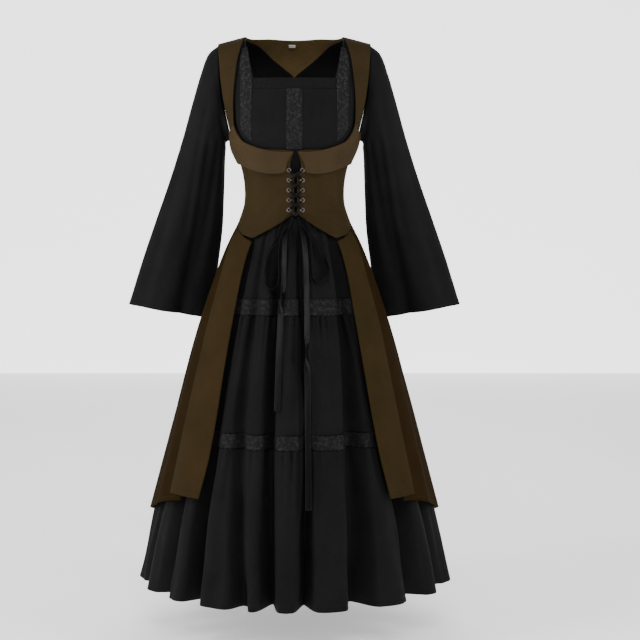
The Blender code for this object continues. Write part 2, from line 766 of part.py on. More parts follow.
def shifted_front(points, side):
    """Mirror a front piece to its side, and move its edge near the centre with the opening."""
    moved = []
    for p in points:
        near = max(0.0, 1 - p.x / OPENING_REACH)
        moved.append(Vector((side * p.x + FRONT_SHIFT * near, p.y, p.z)))
    return moved


def add_vest_fronts():
    grid = placed(vest_front_rows(), BODY, VEST_OUT)
    for name, side in (("vest_front_left", -1), ("vest_front_right", 1)):
        add_sheet(name, [shifted_front(row, side) for row in grid], CLOTH, "brown_cloth")


def add_vest_back():
    columns = BACK_COLUMNS
    rows = []
    first = []
    for c in range(columns + 1):
        angle = math.pi / 2 * c / columns
        first.append((angle, vest_hem(math.pi - angle)))
    rows.append(first)
    for z in VEST_BACK_SIDE_ROWS:
        rows.append(row_places(BODY, (0.0, z), (None, z), columns))
    for z in VEST_BACK_ARM_ROWS:
        rows.append(row_places(BODY, (0.0, z), (smooth(ARMHOLE, z)[1], z), columns))
    for inner_x, inner_z, drop in VEST_BACK_NECK:
        outer_x = smooth(ARMHOLE, SHOULDER_Z - drop)[1]
        if inner_z is None:
            inner_z = shoulder_line(inner_x) - drop
        outer = (outer_x, shoulder_line(outer_x) - drop)
        rows.append(row_places(BODY, (inner_x, inner_z), outer, columns))
    grid = []
    for row in rows:
        right = [on_form(BODY, angle, z, VEST_OUT, -SEAM) for angle, z in to_back(row)]
        left = [Vector((-p.x, p.y, p.z)) for p in right]
        grid.append(left[::-1] + right)

    def centre_cell(_r, c):
        return c == columns

    add_sheet("vest_back", grid, CLOTH, "brown_cloth", left_out=centre_cell)


def add_collars():
    rows = [[] for _ in range(COLLAR_ROWS)]
    for upper_x, upper_z, lower_x, lower_z in COLLAR:
        upper = form_angle(BODY, upper_x, upper_z)
        lower = math.pi / 2 if lower_x is None else form_angle(BODY, lower_x, lower_z)
        for i, row in enumerate(rows):
            t = i / (COLLAR_ROWS - 1)
            row.append(on_form(BODY, mix(lower, upper, t), mix(lower_z, upper_z, t), mix(*COLLAR_OUT, t)))
    for name, side in (("vest_collar_left", -1), ("vest_collar_right", 1)):
        add_sheet(name, [shifted_front(row, side) for row in rows], CLOTH, "brown_cloth")


def add_bodice_lace():
    rows = []
    for inner_x, inner_z, outer_x, outer_z in SIDE_LACE:
        rows.append(row_places(BODY, (inner_x, inner_z), (outer_x, outer_z), 2))
    right = placed(rows, BODY, TRIM_OUT)
    left = [[Vector((-p.x, p.y, p.z)) for p in row] for row in right]
    add_sheet("bodice_lace_left", left, LACE, "black_lace")
    add_sheet("bodice_lace_right", right, LACE, "black_lace")
    for name, half, heights, columns in (
        ("bodice_lace_centre", CENTRE_LACE_X, CENTRE_LACE_Z, 2),
        ("neck_band", NECKLINE_X - SEAM, NECK_BAND_Z, NECK_BAND_COLUMNS),
    ):
        rows = []
        for z in heights:
            edge = form_angle(BODY, half, z)
            rows.append([(mix(-edge, edge, c / columns), z) for c in range(columns + 1)])
        add_sheet(name, placed(rows, BODY, TRIM_OUT), LACE, "black_lace")


def strip_rows(narrower):
    """Rows of the overskirt's front strip, hem first, as points."""
    rows = []
    for z, inner, outer in reversed(STRIP):
        row = []
        for c in range(STRIP_COLUMNS + 1):
            angle = math.radians(mix(inner, outer - narrower, c / STRIP_COLUMNS))
            row.append(on_form(OVERSKIRT, angle, z, STRIP_OUT))
        rows.append(row)
    corner = form_angle(BODY, CORNER_X, CORNER_Z)
    end = math.radians(STRIP_TOP_OUTER - narrower)
    for below, form, out in ((STRIP_YOKE, OVERSKIRT, STRIP_OUT), (WAIST_GAP, BODY, VEST_OUT)):
        row = []
        for c in range(STRIP_COLUMNS + 1):
            angle = mix(corner, end, c / STRIP_COLUMNS)
            row.append(on_form(form, angle, vest_hem(angle) - below, out))
        rows.append(row)
    return rows


def side_rows(narrower):
    """Rows of the overskirt's side and back panel, hem first, as points."""
    first, last = SIDE_HEM[0][0], SIDE_HEM[-1][0]
    rows = []
    for t in SIDE_STEPS:
        row = []
        for c in range(SIDE_COLUMNS + 1):
            degrees = mix(first - narrower, last, c / SIDE_COLUMNS)
            angle = math.radians(degrees)
            hem_z, step = smooth(SIDE_HEM, degrees)
            top_start = math.radians(STRIP_TOP_OUTER - narrower + SIDE_TOP_CLEAR)
            top = mix(top_start, math.pi, c / SIDE_COLUMNS)
            angle = mix(angle, top, t)
            top_z = vest_hem(top) - WAIST_GAP
            z = mix(hem_z, top_z, t)
            turn = math.sin(SIDE_FLUTES * (angle - math.pi / 2) * 2)
            flute = SIDE_FLUTE * (1 - t) * max(0.0, 1 - step) * (0.5 + 0.5 * turn)
            out = flute - PLEAT_STEP * step * (1 - t**4)
            if t == 1.0:
                point = on_form(BODY, angle, z, VEST_OUT, 0.0)
            else:
                point = on_form(OVERSKIRT, angle, z, out, 0.0)
            point.x = max(point.x, SEAM / 2)
            row.append(point)
        rows.append(row)
    return rows


def add_overskirt():
    for name, side in (("left", -1), ("right", 1)):
        narrower = RIGHT_NARROWER if side > 0 else 0.0
        for part, rows in (("strip", strip_rows(narrower)), ("panel", side_rows(narrower))):
            grid = [[Vector((side * p.x, p.y, p.z)) for p in row] for row in rows]
            add_sheet(f"overskirt_{part}_{name}", grid, CLOTH, "brown_cloth")


def vest_face(x, z, out):
    """Point in front of the overdress's face, and the direction out of it."""
    angle = form_angle(BODY, x - FRONT_SHIFT, z)
    base = on_form(BODY, angle, z)
    point = on_form(BODY, angle, z, out)
    return Vector((x, point.y, point.z)), (point - base).normalized()


def add_eyelet(name, x, z):
    """Turned ring: a flat flange rising to a rounded rim round the hole."""
    rise = EYELET_HEIGHT
    profile = (
        (EYELET_R, 0.0),
        (EYELET_HOLE_R, 0.0),
        (EYELET_HOLE_R, rise),
        ((EYELET_HOLE_R + EYELET_R) / 2, rise),
    )
    bm = bmesh.new()
    points = [bm.verts.new((r, 0, h)) for r, h in profile]
    for i, point in enumerate(points):
        bm.edges.new((point, points[(i + 1) % len(points)]))
    obj = add_object(name, bm, "aged_silver")
    screw = obj.modifiers.new("turn", "SCREW")
    screw.steps = screw.render_steps = EYELET_SIDES
    screw.use_merge_vertices = True
    screw.merge_threshold = 0.01 * MM
    centre, direction = vest_face(x, z, VEST_OUT + EYELET_GAP)
    obj.location = centre
    obj.rotation_euler = direction.to_track_quat("Z", "Y").to_euler()


def eyelet_place(pair, side):
    x = side * EYELET_X + FRONT_SHIFT
    return x, EYELET_TOP_Z - EYELET_PITCH * pair


def add_eyelets():
    for pair in range(EYELET_PAIRS):
        for side, label in ((-1, "left"), (1, "right")):
            add_eyelet(f"eyelet_{label}_{pair + 1}", *eyelet_place(pair, side))


def ribbon_rows(points, widths):
    """Two edges of a flat band along points; each width is a vector across it."""
    return [[p - across / 2, p + across / 2] for p, across in zip(points, widths)]


def add_lacing():
    number = 0
    for pair in range(EYELET_PAIRS - 1):
        for side, rise in ((-1, LACING_RISE[0]), (1, LACING_RISE[1])):
            number += 1
            start_x, start_z = eyelet_place(pair, side)
            end_x, end_z = eyelet_place(pair + 1, -side)
            start_z -= LACING_SHIFT
            end_z += LACING_SHIFT
            along = Vector((end_x - start_x, 0, end_z - start_z)).normalized()
            across = Vector((-along.z, 0, along.x))
            points, widths = [], []
            for step in range(LACING_STEPS + 1):
                t = step / LACING_STEPS
                hump = math.sin(math.pi * t)
                out = LACING_OUT + rise * hump
                point, _direction = vest_face(mix(start_x, end_x, t), mix(start_z, end_z, t), out)
                points.append(point)
                widths.append(across * mix(LACING_WIDTH[0], LACING_WIDTH[1], hump))
            add_sheet(f"lacing_{number}", ribbon_rows(points, widths), RIBBON, "satin_ribbon")


def skirt_front_y(x, z):
    """Depth of the foremost cloth at the front of the gown at a place near its centre."""
    slope = (POINT_Z - CORNER_Z) / CORNER_X
    form = SKIRT if z < POINT_Z - HEM_MARGIN - abs(x) * slope else BODY
    extra = 0.0 if form is SKIRT else VEST_OUT
    return on_form(form, form_angle(form, x, z), z, extra).y


def route_points(route, clear):
    """Evenly spaced places on the smooth curve through a route's own points."""
    anchors = []
    for x, z, off, turn in route:
        anchors.append((x, skirt_front_y(x, z) - clear - off, z, turn))
    lengths = [0.0]
    for a, b in zip(anchors, anchors[1:]):
        lengths.append(lengths[-1] + math.dist(a[:3], b[:3]))
    table = tuple((length, *anchor) for length, anchor in zip(lengths, anchors))
    steps = round(lengths[-1] / RIBBON_SPACING)
    points, turns = [], []
    for step in range(steps + 1):
        x, y, z, turn = smooth(table, lengths[-1] * step / steps)
        points.append(Vector((x, y, z)))
        turns.append(math.radians(turn))
    return points, turns


def add_ribbon(name, route, clear):
    points, turns = route_points(route, clear)
    widths = []
    for i, turn in enumerate(turns):
        along = (points[min(i + 1, len(points) - 1)] - points[max(i - 1, 0)]).normalized()
        out = Vector((0, -1, 0))
        out = (out - along * out.dot(along)).normalized()
        flat = along.cross(out)
        widths.append((flat * math.cos(turn) + out * math.sin(turn)) * RIBBON_WIDTH)
    add_sheet(name, ribbon_rows(points, widths), RIBBON, "satin_ribbon")


def add_bow():
    for name, route, clear in (
        ("ribbon_end_left", LEFT_END, RIBBON_CLEAR),
        ("ribbon_end_right", RIGHT_END, RIBBON_CLEAR),
        ("bow_loop_left", LEFT_LOOP, LOOP_CLEAR),
        ("bow_loop_right", RIGHT_LOOP, LOOP_CLEAR),
    ):
        add_ribbon(name, route, clear)
    bm = bmesh.new()
    bmesh.ops.create_uvsphere(bm, u_segments=KNOT_SIDES[0], v_segments=KNOT_SIDES[1], radius=1.0)
    bmesh.ops.scale(bm, vec=KNOT_SIZE, verts=bm.verts)
    obj = add_object("bow_knot", bm, "satin_ribbon")
    front = vest_face(KNOT.x, KNOT.z, VEST_OUT)[0].y
    obj.location = Vector((KNOT.x, front - KNOT_CLEAR - KNOT_SIZE.y, KNOT.z))


def add_label():
    half, height = LABEL_SIZE[0] / 2, LABEL_SIZE[1]
    rows = []
    for z in (LABEL_Z - height / 2, LABEL_Z + height / 2):
        row = []
        for x in (LABEL_X - half, LABEL_X, LABEL_X + half):
            angle = math.pi - form_angle(BODY, x, z)
            row.append(on_form(BODY, angle, z, LABEL_OUT))
        rows.append(row)
    add_sheet("neck_label", rows, RIBBON, "white_label")


def build():
    for obj in list(bpy.data.objects):
        bpy.data.objects.remove(obj, do_unlink=True)
    collection = bpy.data.collections.new(COLLECTION)
    bpy.context.scene.collection.children.link(collection)
    add_dress_front()
    add_dress_back()
    add_sleeve("sleeve_left", -1)
    add_sleeve("sleeve_right", 1)
    add_skirt()
    add_bodice_lace()
    add_vest_fronts()
    add_vest_back()
    add_collars()
    add_overskirt()
    add_eyelets()
    add_lacing()
    add_bow()
    add_label()


build()
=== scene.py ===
"""Looks of the worn medieval gown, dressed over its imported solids.

Metres, +Z up, front towards -Y, origin at the middle of the shoulder line. Each cloth is a fine
grid over the same forms as the solids, with the seams, creases, gathers and stitches added.
"""

import math
import random

import bmesh
import bpy
import numpy as np
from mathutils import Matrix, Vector


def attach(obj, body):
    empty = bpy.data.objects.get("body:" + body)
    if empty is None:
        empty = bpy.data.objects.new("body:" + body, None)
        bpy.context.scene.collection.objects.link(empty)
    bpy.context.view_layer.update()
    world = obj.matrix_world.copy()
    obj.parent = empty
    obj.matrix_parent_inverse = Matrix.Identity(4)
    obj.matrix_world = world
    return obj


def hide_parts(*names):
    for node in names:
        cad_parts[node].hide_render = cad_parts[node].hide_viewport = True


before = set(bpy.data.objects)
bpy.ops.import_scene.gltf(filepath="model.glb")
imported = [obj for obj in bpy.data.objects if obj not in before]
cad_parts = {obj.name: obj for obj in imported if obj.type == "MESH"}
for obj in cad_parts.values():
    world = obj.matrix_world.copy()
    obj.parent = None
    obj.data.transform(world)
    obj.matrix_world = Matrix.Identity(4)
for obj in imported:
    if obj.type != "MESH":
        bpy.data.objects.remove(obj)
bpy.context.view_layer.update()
MM = 0.001

# Walls and gaps
CLOTH = 1.6 * MM
LACE = 1.0 * MM
RIBBON = 0.6 * MM
SEAM = 2.0 * MM
SLEEVE_SEAM = 0.9 * MM

# Layers, as distances of the outer face from the body form
DRESS_FRONT_OUT = -1.8 * MM
DRESS_BACK_OUT = -3.6 * MM
TRIM_OUT = 1.1 * MM
VEST_OUT = 3.8 * MM
COLLAR_OUT = (9.0 * MM, 6.2 * MM)
STRIP_OUT = 3.0 * MM
LABEL_OUT = -1.2 * MM

# Body form of the bodice. Columns: height, half width, front depth, back depth, roundness.
BODY = (
    (0.040, 0.197, 0.078, 0.100, 2.6),
    (0.000, 0.195, 0.078, 0.100, 2.6),
    (-0.060, 0.190, 0.088, 0.105, 2.6),
    (-0.106, 0.1835, 0.097, 0.105, 2.6),
    (-0.154, 0.1725, 0.108, 0.102, 2.6),
    (-0.190, 0.1645, 0.117, 0.099, 2.5),
    (-0.209, 0.1590, 0.121, 0.097, 2.5),
    (-0.2375, 0.1475, 0.122, 0.094, 2.4),
    (-0.260, 0.1395, 0.119, 0.091, 2.3),
    (-0.294, 0.1235, 0.107, 0.086, 2.2),
    (-0.330, 0.1150, 0.095, 0.083, 2.2),
    (-0.360, 0.1125, 0.090, 0.082, 2.2),
    (-0.388, 0.1140, 0.0905, 0.084, 2.2),
    (-0.407, 0.1190, 0.093, 0.089, 2.1),
    (-0.4255, 0.1255, 0.097, 0.096, 2.1),
    (-0.444, 0.1325, 0.102, 0.104, 2.0),
    (-0.463, 0.1425, 0.107, 0.112, 2.0),
    (-0.482, 0.1525, 0.112, 0.120, 2.0),
    (-0.501, 0.1605, 0.117, 0.127, 2.0),
)

# Crowns of the tiered skirt's folds, same columns
SKIRT = (
    (-0.360, 0.1105, 0.0880, 0.0800, 2.2),
    (-0.430, 0.1245, 0.0955, 0.0955, 2.1),
    (-0.500, 0.1550, 0.1120, 0.1220, 2.0),
    (-0.580, 0.1810, 0.1460, 0.1520, 2.0),
    (-0.640, 0.1995, 0.1740, 0.1760, 2.0),
    (-0.770, 0.2365, 0.2190, 0.2210, 2.0),
    (-0.900, 0.2705, 0.2580, 0.2600, 2.0),
    (-1.000, 0.2975, 0.2830, 0.2860, 2.0),
    (-1.083, 0.3210, 0.3000, 0.3030, 2.0),
    (-1.150, 0.3365, 0.3110, 0.3140, 2.0),
    (-1.270, 0.3630, 0.3310, 0.3310, 2.0),
)

# Open overskirt, same columns
OVERSKIRT = (
    (-0.400, 0.1225, 0.0960, 0.0915, 2.1),
    (-0.430, 0.1320, 0.1030, 0.1030, 2.1),
    (-0.463, 0.1475, 0.1120, 0.1170, 2.0),
    (-0.501, 0.1650, 0.1240, 0.1330, 2.0),
    (-0.580, 0.1940, 0.1550, 0.1650, 2.0),
    (-0.660, 0.2210, 0.1900, 0.1980, 2.0),
    (-0.800, 0.2600, 0.2400, 0.2420, 2.0),
    (-0.942, 0.2960, 0.2820, 0.2850, 2.0),
    (-1.083, 0.3320, 0.3180, 0.3220, 2.0),
    (-1.200, 0.3620, 0.3450, 0.3520, 2.0),
)

# Shoulder line: it falls from the neck to the shoulder's end, and rolls from front to back
SHOULDER_TOP = 0.030
SHOULDER_FALL = 0.266
SHOULDER_ROUND = 0.020
ROLL = 0.075
NECK_X = 0.113
SHOULDER_Z = -0.017
UNDERARM_Z = -0.2375
WAIST_Z = -0.370

# Seam of dress and sleeve, and the overdress's own armhole. Columns: height, dress x, overdress x.
ARMHOLE = (
    (-0.2375, 0.1475, 0.1400),
    (-0.209, 0.1540, 0.1460),
    (-0.190, 0.1585, 0.1515),
    (-0.154, 0.1660, 0.1600),
    (-0.106, 0.1715, 0.1670),
    (-0.060, 0.1745, 0.1715),
    (-0.017, 0.1745, 0.1770),
    (0.0, 0.1745, 0.1770),
)

# Rows of the dress bodice below the shoulder roll, from the waist up
BODICE_ROWS = (WAIST_Z, -0.330, -0.294, -0.263, UNDERARM_Z, -0.209, -0.190, -0.154, -0.130)
SHOULDER_DROPS = (0.050, 0.030, 0.013, 0.004, 0.0)
NECKLINE_Z = -0.104
NECKLINE_X = 0.0935
NECKLINE_CURVE = 0.8
DRESS_SIDE_COLUMNS = 4
DRESS_MIDDLE_COLUMNS = 8
BACK_COLUMNS = 7

# Back neck of the dress. Columns: drop from the shoulder line, x of the V edge.
BACK_NECK = (
    (0.0, 0.1130),
    (0.004, 0.1040),
    (0.013, 0.0870),
    (0.030, 0.0700),
    (0.050, 0.0520),
    (0.0781, 0.0260),
    (0.1055, 0.0),
)

# Overdress front, from the hem up. Columns: inner edge x and z, outer edge x and z; an outer x
# of None is the side seam.
FRONT_OPENING = 0.003
FRONT_SHIFT = 0.003
POINT_Z = -0.414
CORNER_X = 0.096
CORNER_Z = -0.477
SIDE_HEM_Z = -0.430
BACK_HEM_Z = -0.424
VEST_FRONT = (
    (0.004, -0.2725, None, -0.285),
    (0.065, -0.2680, None, -0.262),
    (0.1050, -0.2530, None, -0.254),
    (0.1175, -0.2440, 0.1400, -0.242),
    (0.1285, -0.2270, 0.1415, -0.231),
    (0.1357, -0.2087, 0.1460, -0.209),
    (0.1375, -0.1850, 0.1525, -0.186),
    (0.1380, -0.1540, 0.1600, -0.154),
    (0.1350, -0.1060, 0.1670, -0.106),
    (0.1290, -0.0600, 0.1715, -0.060),
)
VEST_SHOULDER = ((0.030, 0.1225), (0.013, 0.1175), (0.004, 0.1145), (0.0, 0.1135))
VEST_BODY_STEPS = 5
VEST_COLUMNS = 8
CORNER_COLUMN = 5
OPENING_REACH = 0.08
# Back of the overdress at the neck. Columns: inner edge x and z, drop of the outer edge from the
# shoulder line; a z of None lies on the shoulder line less the drop.
VEST_BACK_NECK = (
    (0.0, -0.025, 0.030),
    (0.0, 0.003, 0.013),
    (0.1000, None, 0.004),
    (0.1135, None, 0.0),
)
VEST_BACK_SIDE_ROWS = (-0.388, -0.350, -0.310, -0.275, -0.250)
VEST_BACK_ARM_ROWS = (-0.228, -0.206, -0.180, -0.154, -0.106, -0.060)

# Turned-down collar. Columns: upper edge x and z, lower edge x and z; None is the side seam.
COLLAR_ROWS = 5
COLLAR = (
    (0.0040, -0.2730, 0.0125, -0.3110),
    (0.0130, -0.2728, 0.0220, -0.3178),
    (0.0320, -0.2722, 0.0430, -0.3205),
    (0.0580, -0.2690, 0.0680, -0.3180),
    (0.0850, -0.2615, 0.0900, -0.3115),
    (0.1050, -0.2530, 0.1070, -0.3030),
    (0.1175, -0.2440, 0.1170, -0.2965),
    (0.1285, -0.2270, None, -0.2850),
    (0.1335, -0.2150, 0.1400, -0.2580),
    (0.1357, -0.2087, 0.1430, -0.2250),
)

# Lace strip on each side of the bodice. Columns: inner edge x and z, outer edge x and z.
SIDE_LACE = (
    (0.0985, -0.2490, 0.1120, -0.2370),
    (0.0985, -0.2200, 0.1210, -0.2200),
    (0.0980, -0.1800, 0.1230, -0.1800),
    (0.0975, -0.1400, 0.1240, -0.1400),
    (0.0975, -0.1040, 0.1240, -0.1040),
    (0.1015, -0.0780, 0.1250, -0.0780),
    (0.1045, -0.0550, 0.1235, -0.0560),
    (0.1070, -0.0410, 0.1215, -0.0420),
    (0.1085, -0.0300, 0.1190, -0.0330),
)
CENTRE_LACE_X = 0.0175
CENTRE_LACE_Z = (-0.270, -0.235, -0.200, -0.165, -0.1294)
NECK_BAND_Z = (-0.1290, -0.1170, -0.1050)
NECK_BAND_COLUMNS = 10

# Sleeve on +X. Columns: outer x and z, inner x and z, centre y, half depth.
SLEEVE = (
    (0.2010, -0.0370, 0.1600, -0.2430, 0.004, 0.056),
    (0.2200, -0.0850, 0.1610, -0.2560, 0.010, 0.062),
    (0.2400, -0.1500, 0.1630, -0.2760, 0.018, 0.063),
    (0.2650, -0.2360, 0.1650, -0.3150, 0.030, 0.060),
    (0.2960, -0.3290, 0.1680, -0.3750, 0.048, 0.057),
    (0.3320, -0.4240, 0.1730, -0.4500, 0.074, 0.058),
    (0.3690, -0.5200, 0.1860, -0.5400, 0.106, 0.061),
    (0.4080, -0.6280, 0.2030, -0.6620, 0.140, 0.067),
)
SLEEVE_COLUMNS = 28
# Soft folds down the sleeve. Columns: angle round the sleeve, sharpness, depth at the cuff.
SLEEVE_FOLDS = ((118.0, 10, 0.014), (42.0, 8, 0.006), (-125.0, 8, 0.012), (-55.0, 8, 0.008))

# Skirt tiers. Rows: height and share of the gathers' depth.
TIER_1 = ((-0.6072, 0.0), (-0.5400, 0.3), (-0.4700, 0.8), (-0.4100, 1.0), (-0.3708, 0.0))
TIER_2 = ((-0.8991, 0.0), (-0.8300, 0.1), (-0.7400, 0.4), (-0.6580, 1.0), (-0.6409, 0.0))
TIER_3 = ((-1.2615, 0.0), (-1.1400, 0.0), (-1.0200, 0.4), (-0.9430, 1.0), (-0.9269, 0.0))
UPPER_LACE = ((-0.6400, 0.0), (-0.6081, 0.0))
LOWER_LACE = ((-0.9260, 0.0), (-0.9000, 0.0))
GATHER = 2.5 * MM

# Valleys between the skirt's folds. Columns: angle at three heights, half width, depth share.
FOLD_HEIGHTS = (-0.563, -0.853, -1.26)
FOLDS = (
    (-150.0, -150.0, -151.0, 5.0, 0.8),
    (-122.0, -122.0, -121.0, 5.0, 0.8),
    (-95.0, -96.0, -96.0, 5.0, 0.8),
    (-71.0, -73.0, -75.0, 4.5, 0.8),
    (-55.0, -56.0, -56.0, 3.6, 0.7),
    (-42.0, -42.0, -39.0, 3.6, 0.9),
    (-28.0, -27.0, -20.0, 3.2, 0.6),
    (-13.4, -12.0, -9.5, 3.0, 1.0),
    (4.9, 6.6, 4.3, 3.0, 1.0),
    (36.0, 30.0, 24.5, 5.5, 1.0),
    (53.0, 50.0, 50.0, 4.5, 0.9),
    (71.0, 70.0, 69.0, 5.0, 0.8),
    (94.0, 94.0, 94.0, 5.0, 0.8),
    (121.0, 122.0, 122.0, 5.0, 0.8),
    (150.0, 150.0, 149.0, 5.0, 0.8),
    (180.0, 181.0, 180.0, 5.0, 0.8),
)
# Depth of the valleys. Columns: height, depth.
FOLD_DEPTH = (
    (-0.370, 0.001),
    (-0.420, 0.004),
    (-0.500, 0.012),
    (-0.608, 0.026),
    (-0.770, 0.040),
    (-0.900, 0.050),
    (-1.050, 0.064),
    (-1.270, 0.086),
)
# Places across a valley, in half widths, with the share of the depth there
VALLEY = ((-1.0, 0.10), (-0.4, 0.85), (0.4, 0.85), (1.0, 0.10))
CROWN = ((1 / 3, 0.0), (2 / 3, 0.0))

# Overskirt. Columns: height, inner and outer edge angle of the front strip.
STRIP = (
    (-0.560, 40.0, 65.0),
    (-0.660, 38.5, 62.5),
    (-0.760, 38.0, 61.0),
    (-0.860, 37.8, 60.0),
    (-0.950, 38.5, 59.5),
    (-1.038, 40.5, 59.0),
)
STRIP_TOP_OUTER = 70.0
STRIP_COLUMNS = 3
STRIP_YOKE = 0.030
WAIST_GAP = 0.8 * MM
RIGHT_NARROWER = 3.0
# Side and back panel. Columns: angle, hem height, share of the pleat's step under the strip.
SIDE_HEM = (
    (52.0, -1.048, 1.0),
    (62.0, -1.058, 0.8),
    (74.0, -1.078, 0.0),
    (90.0, -1.102, 0.0),
    (110.0, -1.130, 0.0),
    (140.0, -1.150, 0.0),
    (180.0, -1.160, 0.0),
)
PLEAT_STEP = 3.5 * MM
SIDE_COLUMNS = 18
SIDE_STEPS = (0.0, 0.2, 0.4, 0.6, 0.78, 0.91, 1.0)
SIDE_FLUTE = 7.0 * MM
SIDE_TOP_CLEAR = 0.8
SIDE_FLUTES = 5

# Eyelets and lacing
EYELET_X = 0.0155
EYELET_TOP_Z = -0.3150
EYELET_PITCH = 0.0226
EYELET_PAIRS = 5
EYELET_R = 5.6 * MM
EYELET_HOLE_R = 2.5 * MM
EYELET_HEIGHT = 1.3 * MM
EYELET_SIDES = 8
EYELET_GAP = 0.7 * MM
LACING_OUT = 7.2 * MM
LACING_RISE = (0.2 * MM, 2.8 * MM)
LACING_WIDTH = (2.2 * MM, 6.5 * MM)
LACING_SHIFT = 1.4 * MM
LACING_STEPS = 6

# Bow knot, and the ribbon's two loops and two free ends
RIBBON_WIDTH = 13.0 * MM
RIBBON_CLEAR = 5.0 * MM
KNOT = Vector((0.0020, 0.0, -0.4150))
KNOT_SIZE = Vector((8.0, 5.0, 6.5)) * MM
KNOT_CLEAR = 2.0 * MM
KNOT_SIDES = (10, 6)
RIBBON_SPACING = 0.017
LOOP_CLEAR = 9.0 * MM
HEM_MARGIN = 6.0 * MM
# Routes. Columns: x, z, distance off the skirt beyond the ribbon's own, turn in degrees.
LEFT_END = (
    (-0.0045, -0.4219, 0.002, 0.0),
    (-0.0200, -0.4570, 0.002, 0.0),
    (-0.0235, -0.5180, 0.0, 0.0),
    (-0.0245, -0.5750, 0.0, 15.0),
    (-0.0270, -0.6080, 0.002, 70.0),
    (-0.0300, -0.6400, 0.0, 10.0),
    (-0.0340, -0.7300, 0.0, 0.0),
    (-0.0375, -0.8450, 0.0, 0.0),
)
RIGHT_END = (
    (0.0087, -0.4219, 0.002, 0.0),
    (0.0195, -0.4570, 0.002, 0.0),
    (0.0265, -0.5180, 0.0, 0.0),
    (0.0275, -0.5800, 0.0, 0.0),
    (0.0280, -0.6800, 0.0, 12.0),
    (0.0275, -0.7220, 0.002, 70.0),
    (0.0285, -0.7600, 0.0, 10.0),
    (0.0290, -0.8700, 0.0, 0.0),
    (0.0300, -0.9600, 0.0, 0.0),
    (0.0300, -1.0500, 0.0, 0.0),
)
LEFT_LOOP = (
    (-0.0066, -0.4140, -0.002, 90.0),
    (-0.0210, -0.4240, 0.006, 90.0),
    (-0.0370, -0.4550, 0.010, 90.0),
    (-0.0460, -0.4800, 0.006, 80.0),
    (-0.0575, -0.4940, 0.002, 90.0),
    (-0.0665, -0.5250, 0.0, 90.0),
    (-0.0675, -0.5610, 0.0, 90.0),
    (-0.0620, -0.5780, 0.0, 90.0),
    (-0.0510, -0.5840, 0.0, 90.0),
    (-0.0400, -0.5780, 0.0, 90.0),
    (-0.0360, -0.5600, 0.0, 90.0),
    (-0.0350, -0.5250, 0.0, 90.0),
    (-0.0345, -0.4950, 0.004, 90.0),
    (-0.0300, -0.4650, 0.009, 90.0),
    (-0.0140, -0.4400, 0.011, 90.0),
)
RIGHT_LOOP = (
    (0.0106, -0.4140, -0.002, 90.0),
    (0.0270, -0.4300, 0.006, 90.0),
    (0.0440, -0.4600, 0.008, 90.0),
    (0.0590, -0.4820, 0.005, 80.0),
    (0.0680, -0.5080, 0.002, 90.0),
    (0.0775, -0.5300, 0.0, 90.0),
    (0.0770, -0.5470, 0.0, 90.0),
    (0.0680, -0.5610, 0.0, 90.0),
    (0.0540, -0.5680, 0.0, 90.0),
    (0.0430, -0.5600, 0.0, 90.0),
    (0.0395, -0.5350, 0.0, 90.0),
    (0.0390, -0.5050, 0.004, 90.0),
    (0.0350, -0.4700, 0.009, 90.0),
    (0.0185, -0.4400, 0.011, 90.0),
)

LABEL_X = -0.0055
LABEL_Z = -0.0060
LABEL_SIZE = (0.016, 0.006)



def smooth(rows, key):
    """Columns of a table at a key, on a smooth curve through the table's rows."""
    rows = sorted(rows)
    if key <= rows[0][0]:
        return rows[0][1:]
    if key >= rows[-1][0]:
        return rows[-1][1:]
    i = max(k for k in range(len(rows) - 1) if rows[k][0] <= key)
    low, high = rows[i], rows[i + 1]
    before, after = rows[max(i - 1, 0)], rows[min(i + 2, len(rows) - 1)]
    span = high[0] - low[0]
    t = (key - low[0]) / span
    values = []
    for c in range(1, len(low)):
        start = (high[c] - before[c]) / (high[0] - before[0]) * span
        end = (after[c] - low[c]) / (after[0] - low[0]) * span
        values.append(
            (2 * t**3 - 3 * t**2 + 1) * low[c]
            + (t**3 - 2 * t**2 + t) * start
            + (3 * t**2 - 2 * t**3) * high[c]
            + (t**3 - t**2) * end
        )
    return tuple(values)


def linear(rows, key):
    """Columns of a table at a key, on straight lines between its rows."""
    rows = sorted(rows)
    keys = [row[0] for row in rows]
    return tuple(float(np.interp(key, keys, column)) for column in list(zip(*rows))[1:])


def mix(a, b, t):
    return a + (b - a) * t


class Form:
    """A body form, read from its table at close steps so that whole grids can be placed at once."""

    def __init__(self, table):
        heights = [row[0] for row in table]
        self.z = np.arange(min(heights), max(heights) + FORM_STEP, FORM_STEP)
        self.columns = np.array([smooth(table, z) for z in self.z]).T

    def at(self, z):
        return [np.interp(z, self.z, column) for column in self.columns]


FORM_STEP = 0.5 * MM
body, skirt, overskirt = Form(BODY), Form(SKIRT), Form(OVERSKIRT)


def shoulder_line(x):
    return SHOULDER_TOP - SHOULDER_FALL * np.hypot(x, SHOULDER_ROUND)


def form_x(form, angle, z):
    half, _front, _back, power = form.at(z)
    side = np.sin(angle)
    return np.copysign(half * np.abs(side) ** (2 / power), side)


def form_angle(form, x, z):
    """Angle in the front half of the form where it has this x."""
    half, _front, _back, power = form.at(z)
    return np.copysign(np.arcsin(np.minimum(np.abs(x) / half, 1.0) ** (power / 2)), x)


def form_depth(form, x, z, behind):
    _half, front, back, _power = form.at(z)
    turn = np.maximum(1 - np.maximum(shoulder_line(x) - z, 0.0) / ROLL, 0.0)
    return np.where(behind, back, front) * np.sqrt(1 - turn * turn)


